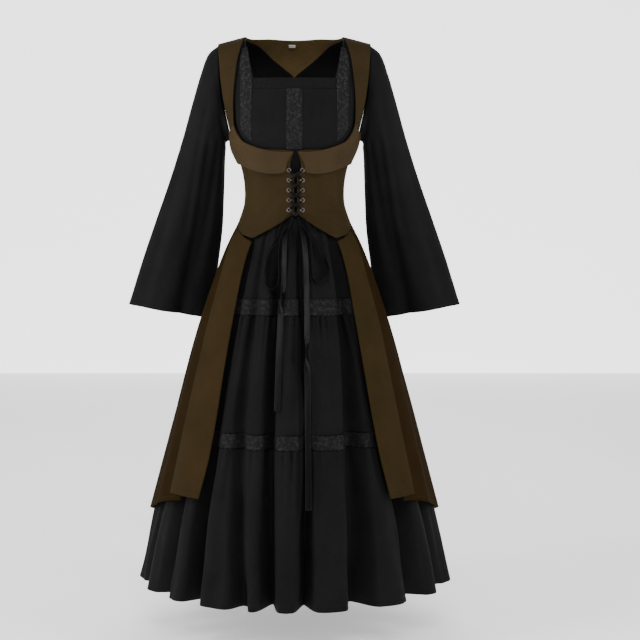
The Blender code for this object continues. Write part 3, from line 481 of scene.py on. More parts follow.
def form_normal(form, x, y, z, behind):
    def level(px, py, pz):
        half, _front, _back, power = form.at(pz)
        depth = np.maximum(form_depth(form, px, pz, behind), 0.1 * MM)
        return (np.abs(px) / half) ** power + (np.abs(py) / depth) ** power

    step = 0.1 * MM
    normal = np.stack(
        [
            level(x + step, y, z) - level(x - step, y, z),
            level(x, y + step, z) - level(x, y - step, z),
            level(x, y, z + step) - level(x, y, z - step),
        ],
        -1,
    )
    ridge = (np.abs(y) < 1.5 * MM) & (shoulder_line(x) - z < 1.5 * MM)
    upward = np.stack([np.copysign(SHOULDER_FALL, x), np.zeros_like(x), np.ones_like(x)], -1)
    normal = np.where(ridge[..., None], upward, normal)
    return normal / np.linalg.norm(normal, axis=-1, keepdims=True)


def on_form(form, angle, z, out=0.0, seam=SEAM, back=False):
    """Points of the form at angles and heights, moved out. Seam is the gap left at the sides."""
    angle, z = np.asarray(angle, float), np.asarray(z, float)
    power = form.at(z)[3]
    x = form_x(form, angle, z)
    turn = np.cos(angle)
    behind = (turn < 0) | (np.full(turn.shape, back) & (np.abs(turn) < 1e-6))
    depth = form_depth(form, x, z, behind) * np.abs(turn) ** (2 / power)
    y = np.maximum(depth, abs(seam) / 2) * np.where(behind, 1, -1)
    normal = form_normal(form, x, y, z, behind)
    out = np.asarray(out, float)
    return np.stack([x, y, z], -1) + normal * (out[..., None] if out.ndim else out)


def row_places(form, inner, outer, columns):
    """Angles and heights along a row from an inner to an outer edge; outer x None is the side."""
    inner_x, inner_z = inner
    outer_x, outer_z = outer
    start = form_angle(form, inner_x, inner_z)
    end = math.pi / 2
    if outer_x is None:
        outer_x = form_x(form, end, outer_z)
    else:
        end = form_angle(form, outer_x, outer_z)
    places = []
    for c in range(columns + 1):
        angle = mix(start, end, c / columns)
        z = inner_z
        for _ in range(6):
            share = (form_x(form, angle, z) - inner_x) / (outer_x - inner_x)
            z = mix(inner_z, outer_z, share)
        places.append((float(angle), float(z)))
    return places


def close_heights(heights):
    """Heights with more between them, so that side edges follow the armhole's curve."""
    made = [heights[0]]
    for low, high in zip(heights, heights[1:]):
        count = max(1, round(abs(high - low) / HEIGHT_STEP))
        made += [mix(low, high, n / count) for n in range(1, count + 1)]
    return made


HEIGHT_STEP = 10.0 * MM


def mirrored(places):
    return [(-angle, z) for angle, z in reversed(places)]


def finer(rows, spacing, curved=True, angular=True):
    """Rows of a grid brought to an even spacing, and where each given row went."""
    grid = np.array(rows, float)
    scale = np.ones(grid.shape[-1])
    scale[0] = ANGLE_REACH if angular else 1.0
    gaps = np.linalg.norm((grid[1:] - grid[:-1]) * scale, axis=-1).mean(axis=1)
    keys = np.concatenate([[0.0], np.cumsum(gaps)])
    last = len(grid) - 1
    made, marks = [], []
    for i in range(last):
        a, b = grid[i], grid[i + 1]
        span = keys[i + 1] - keys[i]
        low, high = max(i - 1, 0), min(i + 2, last)
        start = (b - grid[low]) / (keys[i + 1] - keys[low]) * span
        end = (grid[high] - a) / (keys[high] - keys[i]) * span
        steps = max(1, round(span / spacing))
        marks.append(len(made))
        for s in range(steps):
            t = s / steps
            if curved:
                made.append(
                    (2 * t**3 - 3 * t**2 + 1) * a
                    + (t**3 - 2 * t**2 + t) * start
                    + (3 * t**2 - 2 * t**3) * b
                    + (t**3 - t**2) * end
                )
            else:
                made.append(mix(a, b, t))
            if angular:
                made[-1] = np.clip(made[-1], np.minimum(a, b), np.maximum(a, b))
    marks.append(len(made))
    made.append(grid[last])
    return np.array(made), marks


ANGLE_REACH = 0.13


def fine_grid(rows, spacing, curved_rows=True, curved_columns=False, angular=True):
    """A coarse grid made finer both ways, and where its rows and columns went."""
    grid, row_marks = finer(rows, spacing, curved_rows, angular)
    grid, column_marks = finer(grid.swapaxes(0, 1), spacing, curved_columns, angular)
    return grid.swapaxes(0, 1), row_marks, column_marks


def lengths_along(points, axis):
    """Distance along each row or column of a grid, from its first point."""
    gaps = np.linalg.norm(np.diff(points, axis=axis), axis=-1)
    zero = np.zeros_like(np.take(gaps, [0], axis=axis))
    return np.cumsum(np.concatenate([zero, gaps], axis=axis), axis=axis)


def grid_normals(points, closed=False):
    """Unit normals of a grid of points, to one side."""
    if closed:
        wrapped = np.concatenate([points[:, -1:], points, points[:, :1]], axis=1)
        across = wrapped[:, 2:] - wrapped[:, :-2]
    else:
        across = np.gradient(points, axis=1)
    down = np.gradient(points, axis=0)
    normal = np.cross(across, down)
    return normal / np.maximum(np.linalg.norm(normal, axis=-1, keepdims=True), 1e-12)


def pushed(points, amount, closed=False, centre=(0, 0)):
    """A grid moved along its own normals, outwards from an upright axis."""
    normal = grid_normals(points, closed)
    away = points[..., :2] - np.array(centre)
    if (normal[..., :2] * away).sum(axis=-1).mean() < 0:
        normal = -normal
    return points + normal * np.asarray(amount)[..., None]


def make_piece(name, mesh, finish, nodes):
    mesh.materials.append(finish)
    obj = bpy.data.objects.new(f"{name}_look", mesh)
    bpy.context.scene.collection.objects.link(obj)
    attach(obj, "root")
    if nodes:
        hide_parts(*nodes)
    return obj


def cloth_piece(name, points, finish, wall=CLOTH, closed=False, keep=None, nodes=None, centre=None, merge=False, painted_light_inside=None):
    """A grid of points as cloth with a wall on its inner side. Its UV map is in metres of cloth."""
    points = np.asarray(points, float)
    rows, columns = points.shape[:2]
    index = np.arange(rows * columns).reshape(rows, columns)
    right = np.roll(index, -1, axis=1) if closed else index[:, 1:]
    left = index if closed else index[:, :-1]
    quads = np.stack([left[:-1], right[:-1], right[1:], left[1:]], -1)
    if keep is not None:
        quads = quads[keep]
    quads = quads.reshape(-1, 4)
    flat = points.reshape(-1, 3)
    corners = flat[quads]
    normal = np.cross(corners[:, 2] - corners[:, 0], corners[:, 3] - corners[:, 1])
    middle = corners.mean(axis=1)
    away = middle - np.array(centre if centre is not None else (0, 0, 0))
    away[:, 2] = 0
    if (normal * away).sum() < 0:
        quads = quads[:, ::-1]
    used = np.unique(quads)
    renumber = np.zeros(len(flat), int)
    renumber[used] = np.arange(len(used))
    mesh = bpy.data.meshes.new(name)
    mesh.from_pydata(flat[used].tolist(), [], renumber[quads].tolist())
    across = lengths_along(points, 1)
    across -= across[:, -1:] / 2
    down = np.broadcast_to(lengths_along(points, 0).mean(axis=1, keepdims=True), across.shape)
    uv = np.stack([across, down], -1).reshape(-1, 2)
    if closed:
        total = across[:, -1] - across[:, 0]
    layer = mesh.uv_layers.new(name="UVMap")
    values = uv[quads]
    if closed:
        wide = values[..., 0].max(axis=1) - values[..., 0].min(axis=1) > total.min() / 2
        spot = values[wide]
        spot[..., 0] = np.where(spot[..., 0] < 0, spot[..., 0] + total.max(), spot[..., 0])
        values[wide] = spot
    layer.data.foreach_set("uv", values.reshape(-1).astype(np.float32))
    mesh.polygons.foreach_set("use_smooth", np.ones(len(quads), bool))
    if merge:
        bm = bmesh.new()
        bm.from_mesh(mesh)
        bmesh.ops.remove_doubles(bm, verts=bm.verts, dist=0.02 * MM)
        bm.to_mesh(mesh)
        bm.free()
    obj = make_piece(name, mesh, finish, [name] if nodes is None else nodes)
    solid = obj.modifiers.new("wall", "SOLIDIFY")
    solid.thickness = wall
    solid.offset = -1.0
    solid.use_quality_normals = True
    # An optional second finish on the inner face: painted light, a lighter copy of the cloth.
    if painted_light_inside:
        mesh.materials.append(painted_light_inside)
        solid.material_offset = 1
    return obj


def bump_between(value, low, high):
    """Smooth rise from 0 at low to 1 at high."""
    t = np.clip((value - low) / (high - low), 0, 1)
    return t * t * (3 - 2 * t)


def crease_depth(points, creases):
    """Depth of soft valleys along lines in the front view. Columns: ends, half width, depth."""
    x, z = points[..., 0], points[..., 2]
    total = np.zeros_like(x)
    for x0, z0, x1, z1, width, depth in creases:
        along = np.array([x1 - x0, z1 - z0])
        length = np.hypot(*along)
        along /= length
        s = ((x - x0) * along[0] + (z - z0) * along[1]) / length
        across = (x - x0) * along[1] - (z - z0) * along[0]
        ends = bump_between(s, -0.08, 0.2) * (1 - bump_between(s, 0.8, 1.08))
        total += depth * ends * np.exp(-((across / width) ** 2))
    return total


def waves(seed, angle, low, high, count):
    """Even but irregular ripple round a tube, from -1 to 1, made of a few whole-number waves."""
    source = random.Random(seed)
    total = np.zeros_like(angle)
    for _ in range(count):
        total += np.cos(source.randint(low, high) * angle + source.uniform(0, math.tau))
    return total / math.sqrt(count * 2)


def line_points(points, spacing):
    """Points at an even spacing along a line."""
    points = np.asarray(points, float)
    keys = np.concatenate([[0], np.cumsum(np.linalg.norm(np.diff(points, axis=0), axis=1))])
    steps = max(1, int(keys[-1] / spacing))
    at = np.linspace(0, keys[-1], steps + 1)
    return np.stack([np.interp(at, keys, points[:, k]) for k in range(3)], -1)


def stitches(name, lines, finish, pitch=3.6 * MM, share=0.62, thick=0.28 * MM, lift=0.12 * MM):
    """Rows of stitches: short rounded threads end to end along lines of points with normals."""
    verts, faces = [], []
    for points, normals in lines:
        both = np.concatenate([points, normals], axis=1)
        keys = np.concatenate([[0], np.cumsum(np.linalg.norm(np.diff(points, axis=0), axis=1))])
        for n in range(int(keys[-1] / pitch)):
            ends = []
            for at in (n * pitch, (n + share) * pitch):
                ends.append(np.array([np.interp(at, keys, both[:, k]) for k in range(6)]))
            a, b = ends[0][:3], ends[1][:3]
            up = ends[0][3:] / np.linalg.norm(ends[0][3:])
            along = (b - a) / max(np.linalg.norm(b - a), 1e-9)
            across = np.cross(along, up)
            base = len(verts)
            for t, half, height in ((0, 0.3, 0.0), (0.25, 1.0, 1.0), (0.75, 1.0, 1.0), (1, 0.3, 0.0)):
                for s in (-1, 0, 1):
                    rise = lift + (thick * height if s == 0 else 0.0)
                    verts.append(mix(a, b, t) + across * s * half * thick + up * rise)
            for r in range(3):
                for s in range(2):
                    v = base + r * 3 + s
                    faces.append((v, v + 1, v + 4, v + 3))
    mesh = bpy.data.meshes.new(name)
    mesh.from_pydata([tuple(v) for v in verts], [], faces)
    mesh.polygons.foreach_set("use_smooth", np.ones(len(faces), bool))
    return make_piece(name, mesh, finish, None)


def offset_line(grid, index, inset, along_rows, raised=0.0):
    """Line of points at an inset in metres from one edge of a grid, with the cloth's normals."""
    points = grid if along_rows else grid.swapaxes(0, 1)
    normals = grid_normals(points)
    if index < 0:
        points, normals = points[::-1], normals[::-1]
    away = points[..., :2].copy()
    if (normals[..., :2] * away).sum() < 0:
        normals = -normals
    reach = lengths_along(points, 0)
    line, ups = [], []
    for c in range(points.shape[1]):
        line.append([np.interp(inset, reach[:, c], points[:, c, k]) for k in range(3)])
        ups.append([np.interp(inset, reach[:, c], normals[:, c, k]) for k in range(3)])
    line, ups = np.array(line), np.array(ups)
    return line + ups * raised, ups


class Finish:
    """A procedural material under construction: one shader with patterns wired into it."""

    def __init__(self, name, roughness, **values):
        self.material = bpy.data.materials.new(name)
        self.material.use_nodes = True
        self.tree = self.material.node_tree
        self.shader = self.tree.nodes["Principled BSDF"]
        self.shader.inputs["Roughness"].default_value = roughness
        for socket, value in values.items():
            self.shader.inputs[socket.replace("_", " ")].default_value = value
        self.place = {}
        self.height = None

    def add(self, kind, inputs=(), **properties):
        made = self.tree.nodes.new(kind)
        for key, value in properties.items():
            setattr(made, key, value)
        for socket, value in dict(inputs).items():
            if isinstance(value, bpy.types.NodeSocket):
                self.tree.links.new(value, made.inputs[socket])
            else:
                made.inputs[socket].default_value = value
        return made

    def coordinates(self, source, scale=(1, 1, 1), turn=0.0):
        """Object or UV coordinates in metres, stretched and turned about Z."""
        if source not in self.place:
            kind = self.add("ShaderNodeTexCoord")
            self.place[source] = kind.outputs[source]
        inputs = {"Vector": self.place[source], "Scale": scale, "Rotation": (0, 0, turn)}
        return self.add("ShaderNodeMapping", inputs).outputs["Vector"]

    def noise(self, source, scale, detail=3.0, stretch=(1, 1, 1), distortion=0.0, turn=0.0):
        inputs = {"Vector": self.coordinates(source, stretch, turn), "Scale": scale, "Detail": detail}
        inputs["Distortion"] = distortion
        return self.add("ShaderNodeTexNoise", inputs).outputs["Fac"]

    def bands(self, pitch, direction, distortion=0.4, source="UV", turn=0.0):
        """Even threads with this pitch in metres."""
        inputs = {
            "Vector": self.coordinates(source, turn=turn),
            "Scale": math.tau / (20 * pitch),
            "Distortion": distortion,
            "Detail": 1.0,
        }
        made = self.add("ShaderNodeTexWave", inputs, wave_type="BANDS", bands_direction=direction)
        return made.outputs["Fac"]

    def cells(self, size, feature="F1", source="UV", stretch=(1, 1, 1), randomness=0.6):
        inputs = {
            "Vector": self.coordinates(source, stretch),
            "Scale": 1 / size,
            "Randomness": randomness,
        }
        return self.add("ShaderNodeTexVoronoi", inputs, feature=feature).outputs["Distance"]

    def maths(self, operation, a, b=0.0):
        return self.add("ShaderNodeMath", {0: a, 1: b}, operation=operation).outputs[0]

    def between(self, value, low, high):
        inputs = {"Value": value, "From Min": low, "From Max": high}
        return self.add("ShaderNodeMapRange", inputs).outputs["Result"]

    def colour(self, value, *stops):
        """Base colour from a value, over stops of place and linear colour."""
        ramp = self.add("ShaderNodeValToRGB", {"Fac": value})
        elements = ramp.color_ramp.elements
        while len(elements) < len(stops):
            elements.new(0.5)
        for element, (place, tone) in zip(elements, stops):
            element.position = place
            element.color = (*tone, 1.0)
        self.tree.links.new(ramp.outputs["Color"], self.shader.inputs["Base Color"])

    def roughness(self, value, low, high):
        inputs = {"Value": value, "To Min": low, "To Max": high}
        made = self.add("ShaderNodeMapRange", inputs)
        self.tree.links.new(made.outputs["Result"], self.shader.inputs["Roughness"])

    def bump(self, value, distance, strength=1.0):
        """Adds a relief, its distance in metres, over any reliefs already there."""
        inputs = {"Height": value, "Distance": distance, "Strength": strength}
        if self.height is not None:
            inputs["Normal"] = self.height
        self.height = self.add("ShaderNodeBump", inputs).outputs["Normal"]
        self.tree.links.new(self.height, self.shader.inputs["Normal"])


def shade(colour, factor):
    return tuple(value * factor for value in colour)


def woven(name, tone, pitch, crumple, spread=0.18, roughness=0.88, gloss=0.12):
    """Plain-woven cloth: warp and weft, slubs, and a soft crumple."""
    cloth = Finish(name, roughness, Specular_IOR_Level=gloss)
    warp = cloth.bands(pitch, "X")
    weft = cloth.bands(pitch * 1.15, "Y")
    weave = cloth.maths("MULTIPLY", warp, weft)
    slub = cloth.noise("UV", 1 / 0.006, 2.0, stretch=(0.35, 2.2, 1))
    patch = cloth.noise("Object", 14.0, 4.0)
    mottle = cloth.maths("ADD", cloth.maths("MULTIPLY", patch, 0.6), cloth.maths("MULTIPLY", slub, 0.4))
    dark, light = shade(tone, 1 - spread), shade(tone, 1 + spread)
    cloth.colour(mottle, (0.32, dark), (0.5, tone), (0.68, light))
    cloth.roughness(slub, roughness - 0.06, roughness + 0.06)
    for size, depth, stretch in crumple:
        cloth.bump(cloth.noise("UV", 1 / size, 3.0, stretch=stretch, distortion=0.6), depth)
    cloth.bump(slub, 0.12 * MM, 0.6)
    cloth.bump(weave, 0.10 * MM, 0.7)
    return cloth.material


def lace(name, ground, thread, flower, mesh_pitch, worn=0.009):
    """Corded lace on its ground: flowers of raised thread over a fine net."""
    cloth = Finish(name, 0.7, Specular_IOR_Level=0.18)
    outline = cloth.cells(flower, "DISTANCE_TO_EDGE", randomness=0.75)
    petals = cloth.cells(flower * 0.42, "F1", randomness=0.9)
    vine = cloth.between(outline, 0.10, 0.02)
    petal = cloth.between(petals, 0.48, 0.22)
    broken = cloth.between(cloth.noise("UV", 1 / worn, 2.0), 0.42, 0.60)
    raised = cloth.maths("MULTIPLY", cloth.maths("MAXIMUM", vine, petal), broken)
    net_a = cloth.bands(mesh_pitch, "DIAGONAL", 0.0)
    net_b = cloth.bands(mesh_pitch, "DIAGONAL", 0.0, turn=math.pi / 2)
    net = cloth.maths("MAXIMUM", net_a, net_b)
    height = cloth.maths("ADD", raised, cloth.maths("MULTIPLY", net, 0.25))
    cloth.colour(height, (0.30, ground), (0.95, thread))
    cloth.roughness(raised, 0.8, 0.55)
    cloth.bump(height, 0.4 * MM, 0.6)
    cloth.bump(cloth.bands(0.5 * MM, "X", 1.0), 0.12 * MM, 0.5)
    return cloth.material


BROWN = (0.0245, 0.0160, 0.0062)
BROWN_COLLAR = (0.0380, 0.0255, 0.0125)
BROWN_TAIL = (0.0235, 0.0148, 0.0050)
# The side panels are the same cotton darkened: painted shade for panels turned away from the light.
BROWN_SIDE_PAINTED_SHADE = (0.0150, 0.0086, 0.0024)
# The inside of the overdress back is the same cotton lightened: painted light on its shaded inner face.
BROWN_INSIDE_PAINTED_LIGHT = (0.1100, 0.0720, 0.0300)
BLACK = (0.0042, 0.0042, 0.0043)
BLACK_LACE = (0.0028, 0.0028, 0.0029)
LACE_THREAD = (0.0140, 0.0140, 0.0143)

brown_crumple = ((0.045, 0.5 * MM, (1, 1, 1)), (0.012, 0.18 * MM, (1, 1, 1)))
black_crumple = ((0.030, 0.7 * MM, (1.6, 0.6, 1)), (0.007, 0.45 * MM, (0.5, 1.7, 1)))
soft_crumple = ((0.040, 0.5 * MM, (1, 1, 1)), (0.009, 0.22 * MM, (1, 1, 1)))

finishes = {
    "brown": woven("brown_cotton", BROWN, 0.9 * MM, brown_crumple, gloss=0.06),
    "brown_collar": woven("brown_cotton_collar", BROWN_COLLAR, 0.9 * MM, brown_crumple, gloss=0.06),
    "brown_tail": woven("brown_cotton_strip", BROWN_TAIL, 0.9 * MM, brown_crumple, gloss=0.05),
    # Side panel finish: painted shade, a darker copy of the brown cotton.
    "brown_side_painted_shade": woven("brown_cotton_panel_painted_shade", BROWN_SIDE_PAINTED_SHADE, 0.9 * MM, brown_crumple, gloss=0.02),
    # Inner back finish: painted light, a lighter copy of the brown cotton.
    "brown_inside_painted_light": woven("brown_cotton_inside_painted_light", BROWN_INSIDE_PAINTED_LIGHT, 0.9 * MM, brown_crumple, gloss=0.05),
    "black": woven("black_cotton", BLACK, 0.8 * MM, black_crumple, spread=0.3),
    "black_soft": woven("black_cotton_bodice", BLACK, 0.8 * MM, soft_crumple, spread=0.25),
    "lace": lace("black_lace_trim", BLACK_LACE, LACE_THREAD, 0.0064, 1.2 * MM),
    "lace_band": lace("black_lace_band", shade(BLACK_LACE, 0.6), shade(LACE_THREAD, 0.6), 0.0080, 1.2 * MM),
    "brown_thread": woven("brown_thread", shade(BROWN, 1.15), 0.3 * MM, (), roughness=0.6),
    "black_thread": woven("black_thread", shade(BLACK, 1.5), 0.3 * MM, (), roughness=0.6),
}


def satin_finish():
    satin = Finish("black_satin_ribbon", 0.34, Specular_IOR_Level=0.10)
    # The streaks' lighter colour along the ribbon is painted sheen; the same streaks vary the weave's roughness
    # and relief.
    sheen_and_weave_streaks = satin.noise("UV", 1 / 0.004, 2.0, stretch=(1.0, 0.05, 1))
    satin.colour(sheen_and_weave_streaks, (0.3, (0.0016, 0.0016, 0.0017)), (0.75, (0.0034, 0.0034, 0.0035)))
    satin.roughness(sheen_and_weave_streaks, 0.22, 0.38)
    satin.bump(sheen_and_weave_streaks, 0.10 * MM, 0.6)
    satin.bump(satin.bands(0.35 * MM, "Y", 0.2), 0.05 * MM, 0.6)
    satin.bump(satin.noise("UV", 1 / 0.02, 2.0), 0.8 * MM, 0.5)
    return satin.material


def silver_finish():
    silver = Finish("aged_silver", 0.36, Metallic=1.0)
    worn = silver.noise("Object", 700.0, 4.0)
    silver.colour(worn, (0.3, (0.03, 0.028, 0.024)), (0.55, (0.11, 0.10, 0.09)), (0.8, (0.34, 0.32, 0.29)))
    silver.roughness(worn, 0.28, 0.55)
    silver.bump(worn, 0.12 * MM, 0.5)
    return silver.material


def label_finish():
    label = Finish("white_label", 0.65, Specular_IOR_Level=0.3)
    label.colour(label.noise("Object", 500.0), (0.3, (0.66, 0.65, 0.61)), (0.7, (0.80, 0.79, 0.75)))
    label.bump(label.bands(0.5 * MM, "Y"), 0.10 * MM, 0.6)
    return label.material


finishes["satin"] = satin_finish()
finishes["silver"] = silver_finish()
finishes["label"] = label_finish()

SPACING = 3.5 * MM
TUCKS = (0.020, 0.024, 0.028, 0.032, 0.036)
TUCKED_IN = 4.0 * MM
CALM_EDGE = 14.0 * MM

# Creases of the dress front and of the overdress fronts, in the front view.
# Columns: upper end x and z, lower end x and z, half width, depth.
DRESS_CREASES = (
    (-0.150, -0.130, -0.135, -0.230, 0.006, 0.003),
    (0.150, -0.130, 0.137, -0.225, 0.006, 0.003),
    (-0.075, -0.150, -0.055, -0.250, 0.007, 0.0016),
    (0.070, -0.145, 0.058, -0.255, 0.007, 0.0016),
    (-0.040, -0.140, -0.048, -0.262, 0.005, 0.0012),
    (0.045, -0.150, 0.040, -0.262, 0.005, 0.0012),
)
VEST_CREASES = (
    (-0.108, -0.300, -0.113, -0.375, 0.0022, 0.0022),
    (0.100, -0.318, 0.112, -0.372, 0.0022, 0.0022),
    (0.022, -0.372, 0.052, -0.392, 0.0045, 0.0026),
    (0.030, -0.392, 0.058, -0.412, 0.0055, 0.0020),
    (-0.104, -0.325, -0.085, -0.334, 0.0045, 0.0026),
    (-0.030, -0.375, -0.070, -0.400, 0.0070, 0.0026),
    (-0.110, -0.400, -0.072, -0.372, 0.0060, 0.0024),
    (0.112, -0.405, 0.075, -0.380, 0.0060, 0.0024),
    (0.040, -0.335, 0.090, -0.350, 0.0080, 0.0012),
    (-0.045, -0.340, -0.092, -0.352, 0.0080, 0.0012),
)


def dress_front():
    rows = []
    for z in close_heights(BODICE_ROWS + (NECKLINE_Z,)):
        outer = (None, z) if z <= UNDERARM_Z else (smooth(ARMHOLE, z)[0], z)
        inner_x = NECKLINE_X * min(1.0, smooth(BODY, z)[0] / smooth(BODY, UNDERARM_Z)[0])
        side = row_places(body, (inner_x, z), outer, DRESS_SIDE_COLUMNS)
        edge = float(form_angle(body, inner_x, z))
        middle = [
            (mix(-edge, edge, c / DRESS_MIDDLE_COLUMNS), z) for c in range(1, DRESS_MIDDLE_COLUMNS)
        ]
        rows.append(mirrored(side) + middle + side)
    neckline_row = len(rows) - 1
    for drop in SHOULDER_DROPS:
        height = (SHOULDER_TOP - drop - NECKLINE_Z) / (SHOULDER_TOP - NECKLINE_Z)
        height += SHOULDER_FALL * NECKLINE_CURVE * (1 - drop / ROLL)
        inner_x = mix(NECKLINE_X, NECK_X, min(1.0, height))
        outer_x = smooth(ARMHOLE, SHOULDER_Z - drop)[0]
        inner = (inner_x, float(shoulder_line(inner_x)) - drop)
        outer = (outer_x, float(shoulder_line(outer_x)) - drop)
        side = row_places(body, inner, outer, DRESS_SIDE_COLUMNS)
        edge = float(form_angle(body, *inner))
        middle = [
            (mix(-edge, edge, c / DRESS_MIDDLE_COLUMNS), inner[1])
            for c in range(1, DRESS_MIDDLE_COLUMNS)
        ]
        rows.append(mirrored(side) + middle + side)
    places, row_marks, column_marks = fine_grid(rows, SPACING)
    points = on_form(body, places[..., 0], places[..., 1], DRESS_FRONT_OUT)
    across = lengths_along(points, 1)
    from_side = np.minimum(across, across[:, -1:] - across)
    relief = -crease_depth(points, DRESS_CREASES) * bump_between(from_side, 0.0, CALM_EDGE)
    x, z = points[..., 0], points[..., 2]
    relief -= TUCKED_IN * (1 - bump_between(z, -0.305, -0.275))
    shown = bump_between(z, -0.30, -0.27) * (1 - bump_between(z, -0.128, -0.124))
    for tuck in TUCKS:
        relief += 0.7 * MM * shown * np.exp(-(((np.abs(x) - tuck) / (0.9 * MM)) ** 2))
    points = pushed(points, relief)
    keep = np.ones((points.shape[0] - 1, points.shape[1] - 1), bool)
    first = column_marks[DRESS_SIDE_COLUMNS]
    last = column_marks[DRESS_SIDE_COLUMNS + DRESS_MIDDLE_COLUMNS]
    keep[row_marks[neckline_row] :, first:last] = False
    cloth_piece("dress_front", points, finishes["black_soft"], keep=keep)


def full_back(places, out, relief=None):
    """Both halves of a back piece. The halves share a line only where they meet at the middle."""
    right = on_form(body, math.pi - places[..., 0], places[..., 1], out, SEAM, back=True)
    if relief is not None:
        right = pushed(right, relief)
        right[..., 0] = np.where(places[..., 0] < 1e-9, 0.0, right[..., 0])
    left = right[:, ::-1] * np.array([-1, 1, 1])
    keep = np.ones((right.shape[0] - 1, right.shape[1] * 2 - 1), bool)
    keep[:, right.shape[1] - 1] = False
    return np.concatenate([left, right], axis=1), keep


def dress_back():
    rows = []
    for z in close_heights(BODICE_ROWS[:-1]):
        outer = (None, z) if z <= UNDERARM_Z else (smooth(ARMHOLE, z)[0], z)
        rows.append(row_places(body, (0.0, z), outer, BACK_COLUMNS))
    for drop, inner_x in reversed(BACK_NECK):
        outer_x = smooth(ARMHOLE, SHOULDER_Z - drop)[0]
        inner = (inner_x, float(shoulder_line(inner_x)) - drop)
        outer = (outer_x, float(shoulder_line(outer_x)) - drop)
        rows.append(row_places(body, inner, outer, BACK_COLUMNS))
    places, _, _ = fine_grid(rows, SPACING)
    places[..., 0] = np.maximum(places[..., 0], 0.0)
    grid, keep = full_back(places, DRESS_BACK_OUT)
    cloth_piece("dress_back", grid, finishes["black_soft"], keep=keep, merge=True)


def sleeve_points(side):
    columns = 112
    middle = (SHOULDER_Z + UNDERARM_Z) / 2
    half = (SHOULDER_Z - UNDERARM_Z) / 2
    angle = math.tau * np.arange(columns) / columns
    z = middle + half * np.cos(angle)
    x = np.array([smooth(ARMHOLE, height)[0] for height in z])
    front = form_angle(body, x, z)
    at_front = on_form(body, front, z)
    at_back = on_form(body, math.pi - front, z, 0.0, SEAM, back=True)
    y = np.where(np.sin(angle) < 0, at_back[:, 1], at_front[:, 1])
    y = np.where(np.abs(np.sin(angle)) < 1e-6, 0.0, y)
    first = np.stack([x + SLEEVE_SEAM, y, z], -1)
    rings = [first]
    for i, section in enumerate(SLEEVE):
        outer_x, outer_z, inner_x, inner_z, centre_y, depth = section
        share = i / (len(SLEEVE) - 1)
        centre = np.array([(outer_x + inner_x) / 2, centre_y, (outer_z + inner_z) / 2])
        arm = np.array([outer_x, centre_y, outer_z]) - centre
        fold = sum(
            deep * share * np.maximum(np.cos(angle - math.radians(at)), 0.0) ** (2 * sharp)
            for at, sharp, deep in SLEEVE_FOLDS
        )
        across = np.stack([np.zeros(columns), -depth * np.sin(angle), np.zeros(columns)], -1)
        ring = centre + arm * np.cos(angle)[:, None] + across
        inwards = centre - ring
        ring = ring + inwards / np.linalg.norm(inwards, axis=1, keepdims=True) * fold[:, None]
        rings.append(ring)
    points, _ = finer(rings, 5.0 * MM, angular=False)
    share = np.linspace(0, 1, len(points))[:, None]
    angle = angle[None, :] + np.zeros_like(share)
    relief = 1.6 * MM * share * np.cos(2.0 * angle + 5.0 * share + 0.7) * np.cos(9 * angle + 3.0 * share)
    cap = np.exp(-(((share - 0.03) / 0.035) ** 2))
    relief += 0.9 * MM * cap * waves(21, angle, 26, 44, 7) * np.clip(np.cos(angle) * 2, 0, 1)
    for at, lean, low, high, wide, deep in SLEEVE_WRINKLES:
        line = math.radians(at) + math.radians(lean) * share
        off = np.angle(np.exp(1j * (angle - line)))
        ends = bump_between(share, low, low + 0.12) * (1 - bump_between(share, high - 0.2, high))
        relief -= deep * ends * np.exp(-((off / math.radians(wide)) ** 2))
    points = pushed_tube(points, relief)
    hem = np.abs(lengths_along(points[::-1], 0)[::-1] - 0.018)
    points = pushed_tube(points, -0.5 * MM * np.exp(-((hem / (1.3 * MM)) ** 2)))
    return points * np.array([side, 1, 1])


# Wrinkles down the sleeve. Columns: angle at the cap, turn down its length, start and end share,
# half width in degrees, depth.
SLEEVE_WRINKLES = (
    (70.0, 30.0, 0.05, 0.75, 7.0, 3.0 * MM),
    (100.0, 12.0, 0.15, 1.20, 8.0, 4.2 * MM),
    (135.0, -15.0, 0.10, 0.90, 7.0, 3.6 * MM),
    (30.0, 22.0, 0.35, 1.20, 9.0, 2.4 * MM),
    (150.0, 6.0, 0.40, 1.20, 8.0, 2.2 * MM),
    (-60.0, -12.0, 0.20, 1.20, 10.0, 3.0 * MM),
    (-110.0, 8.0, 0.30, 1.20, 10.0, 3.0 * MM),
)


def pushed_tube(points, amount):
    """A closed tube's grid moved outwards from its own middle."""
    normal = grid_normals(points, closed=True)
    centre = points.mean(axis=1, keepdims=True)
    if (normal * (points - centre)).sum() < 0:
        normal = -normal
    return points + normal * amount[..., None]


def sleeve(name, side):
    points = sleeve_points(side)
    centre = points.mean(axis=(0, 1))
    cloth_piece(name, points, finishes["black"], closed=True, centre=centre)
    return points


def vest_hem(angle):
    """Height of the overdress's lower edge: a point at the front, down to two corners, then up."""
    corner = float(form_angle(body, CORNER_X, CORNER_Z))
    if angle < corner:
        x = float(form_x(body, angle, (POINT_Z + CORNER_Z) / 2))
        return mix(POINT_Z, CORNER_Z, x / CORNER_X)
    if angle < math.pi / 2:
        return mix(CORNER_Z, SIDE_HEM_Z, (angle - corner) / (math.pi / 2 - corner))
    return mix(SIDE_HEM_Z, BACK_HEM_Z, (angle - math.pi / 2) / (math.pi / 2))


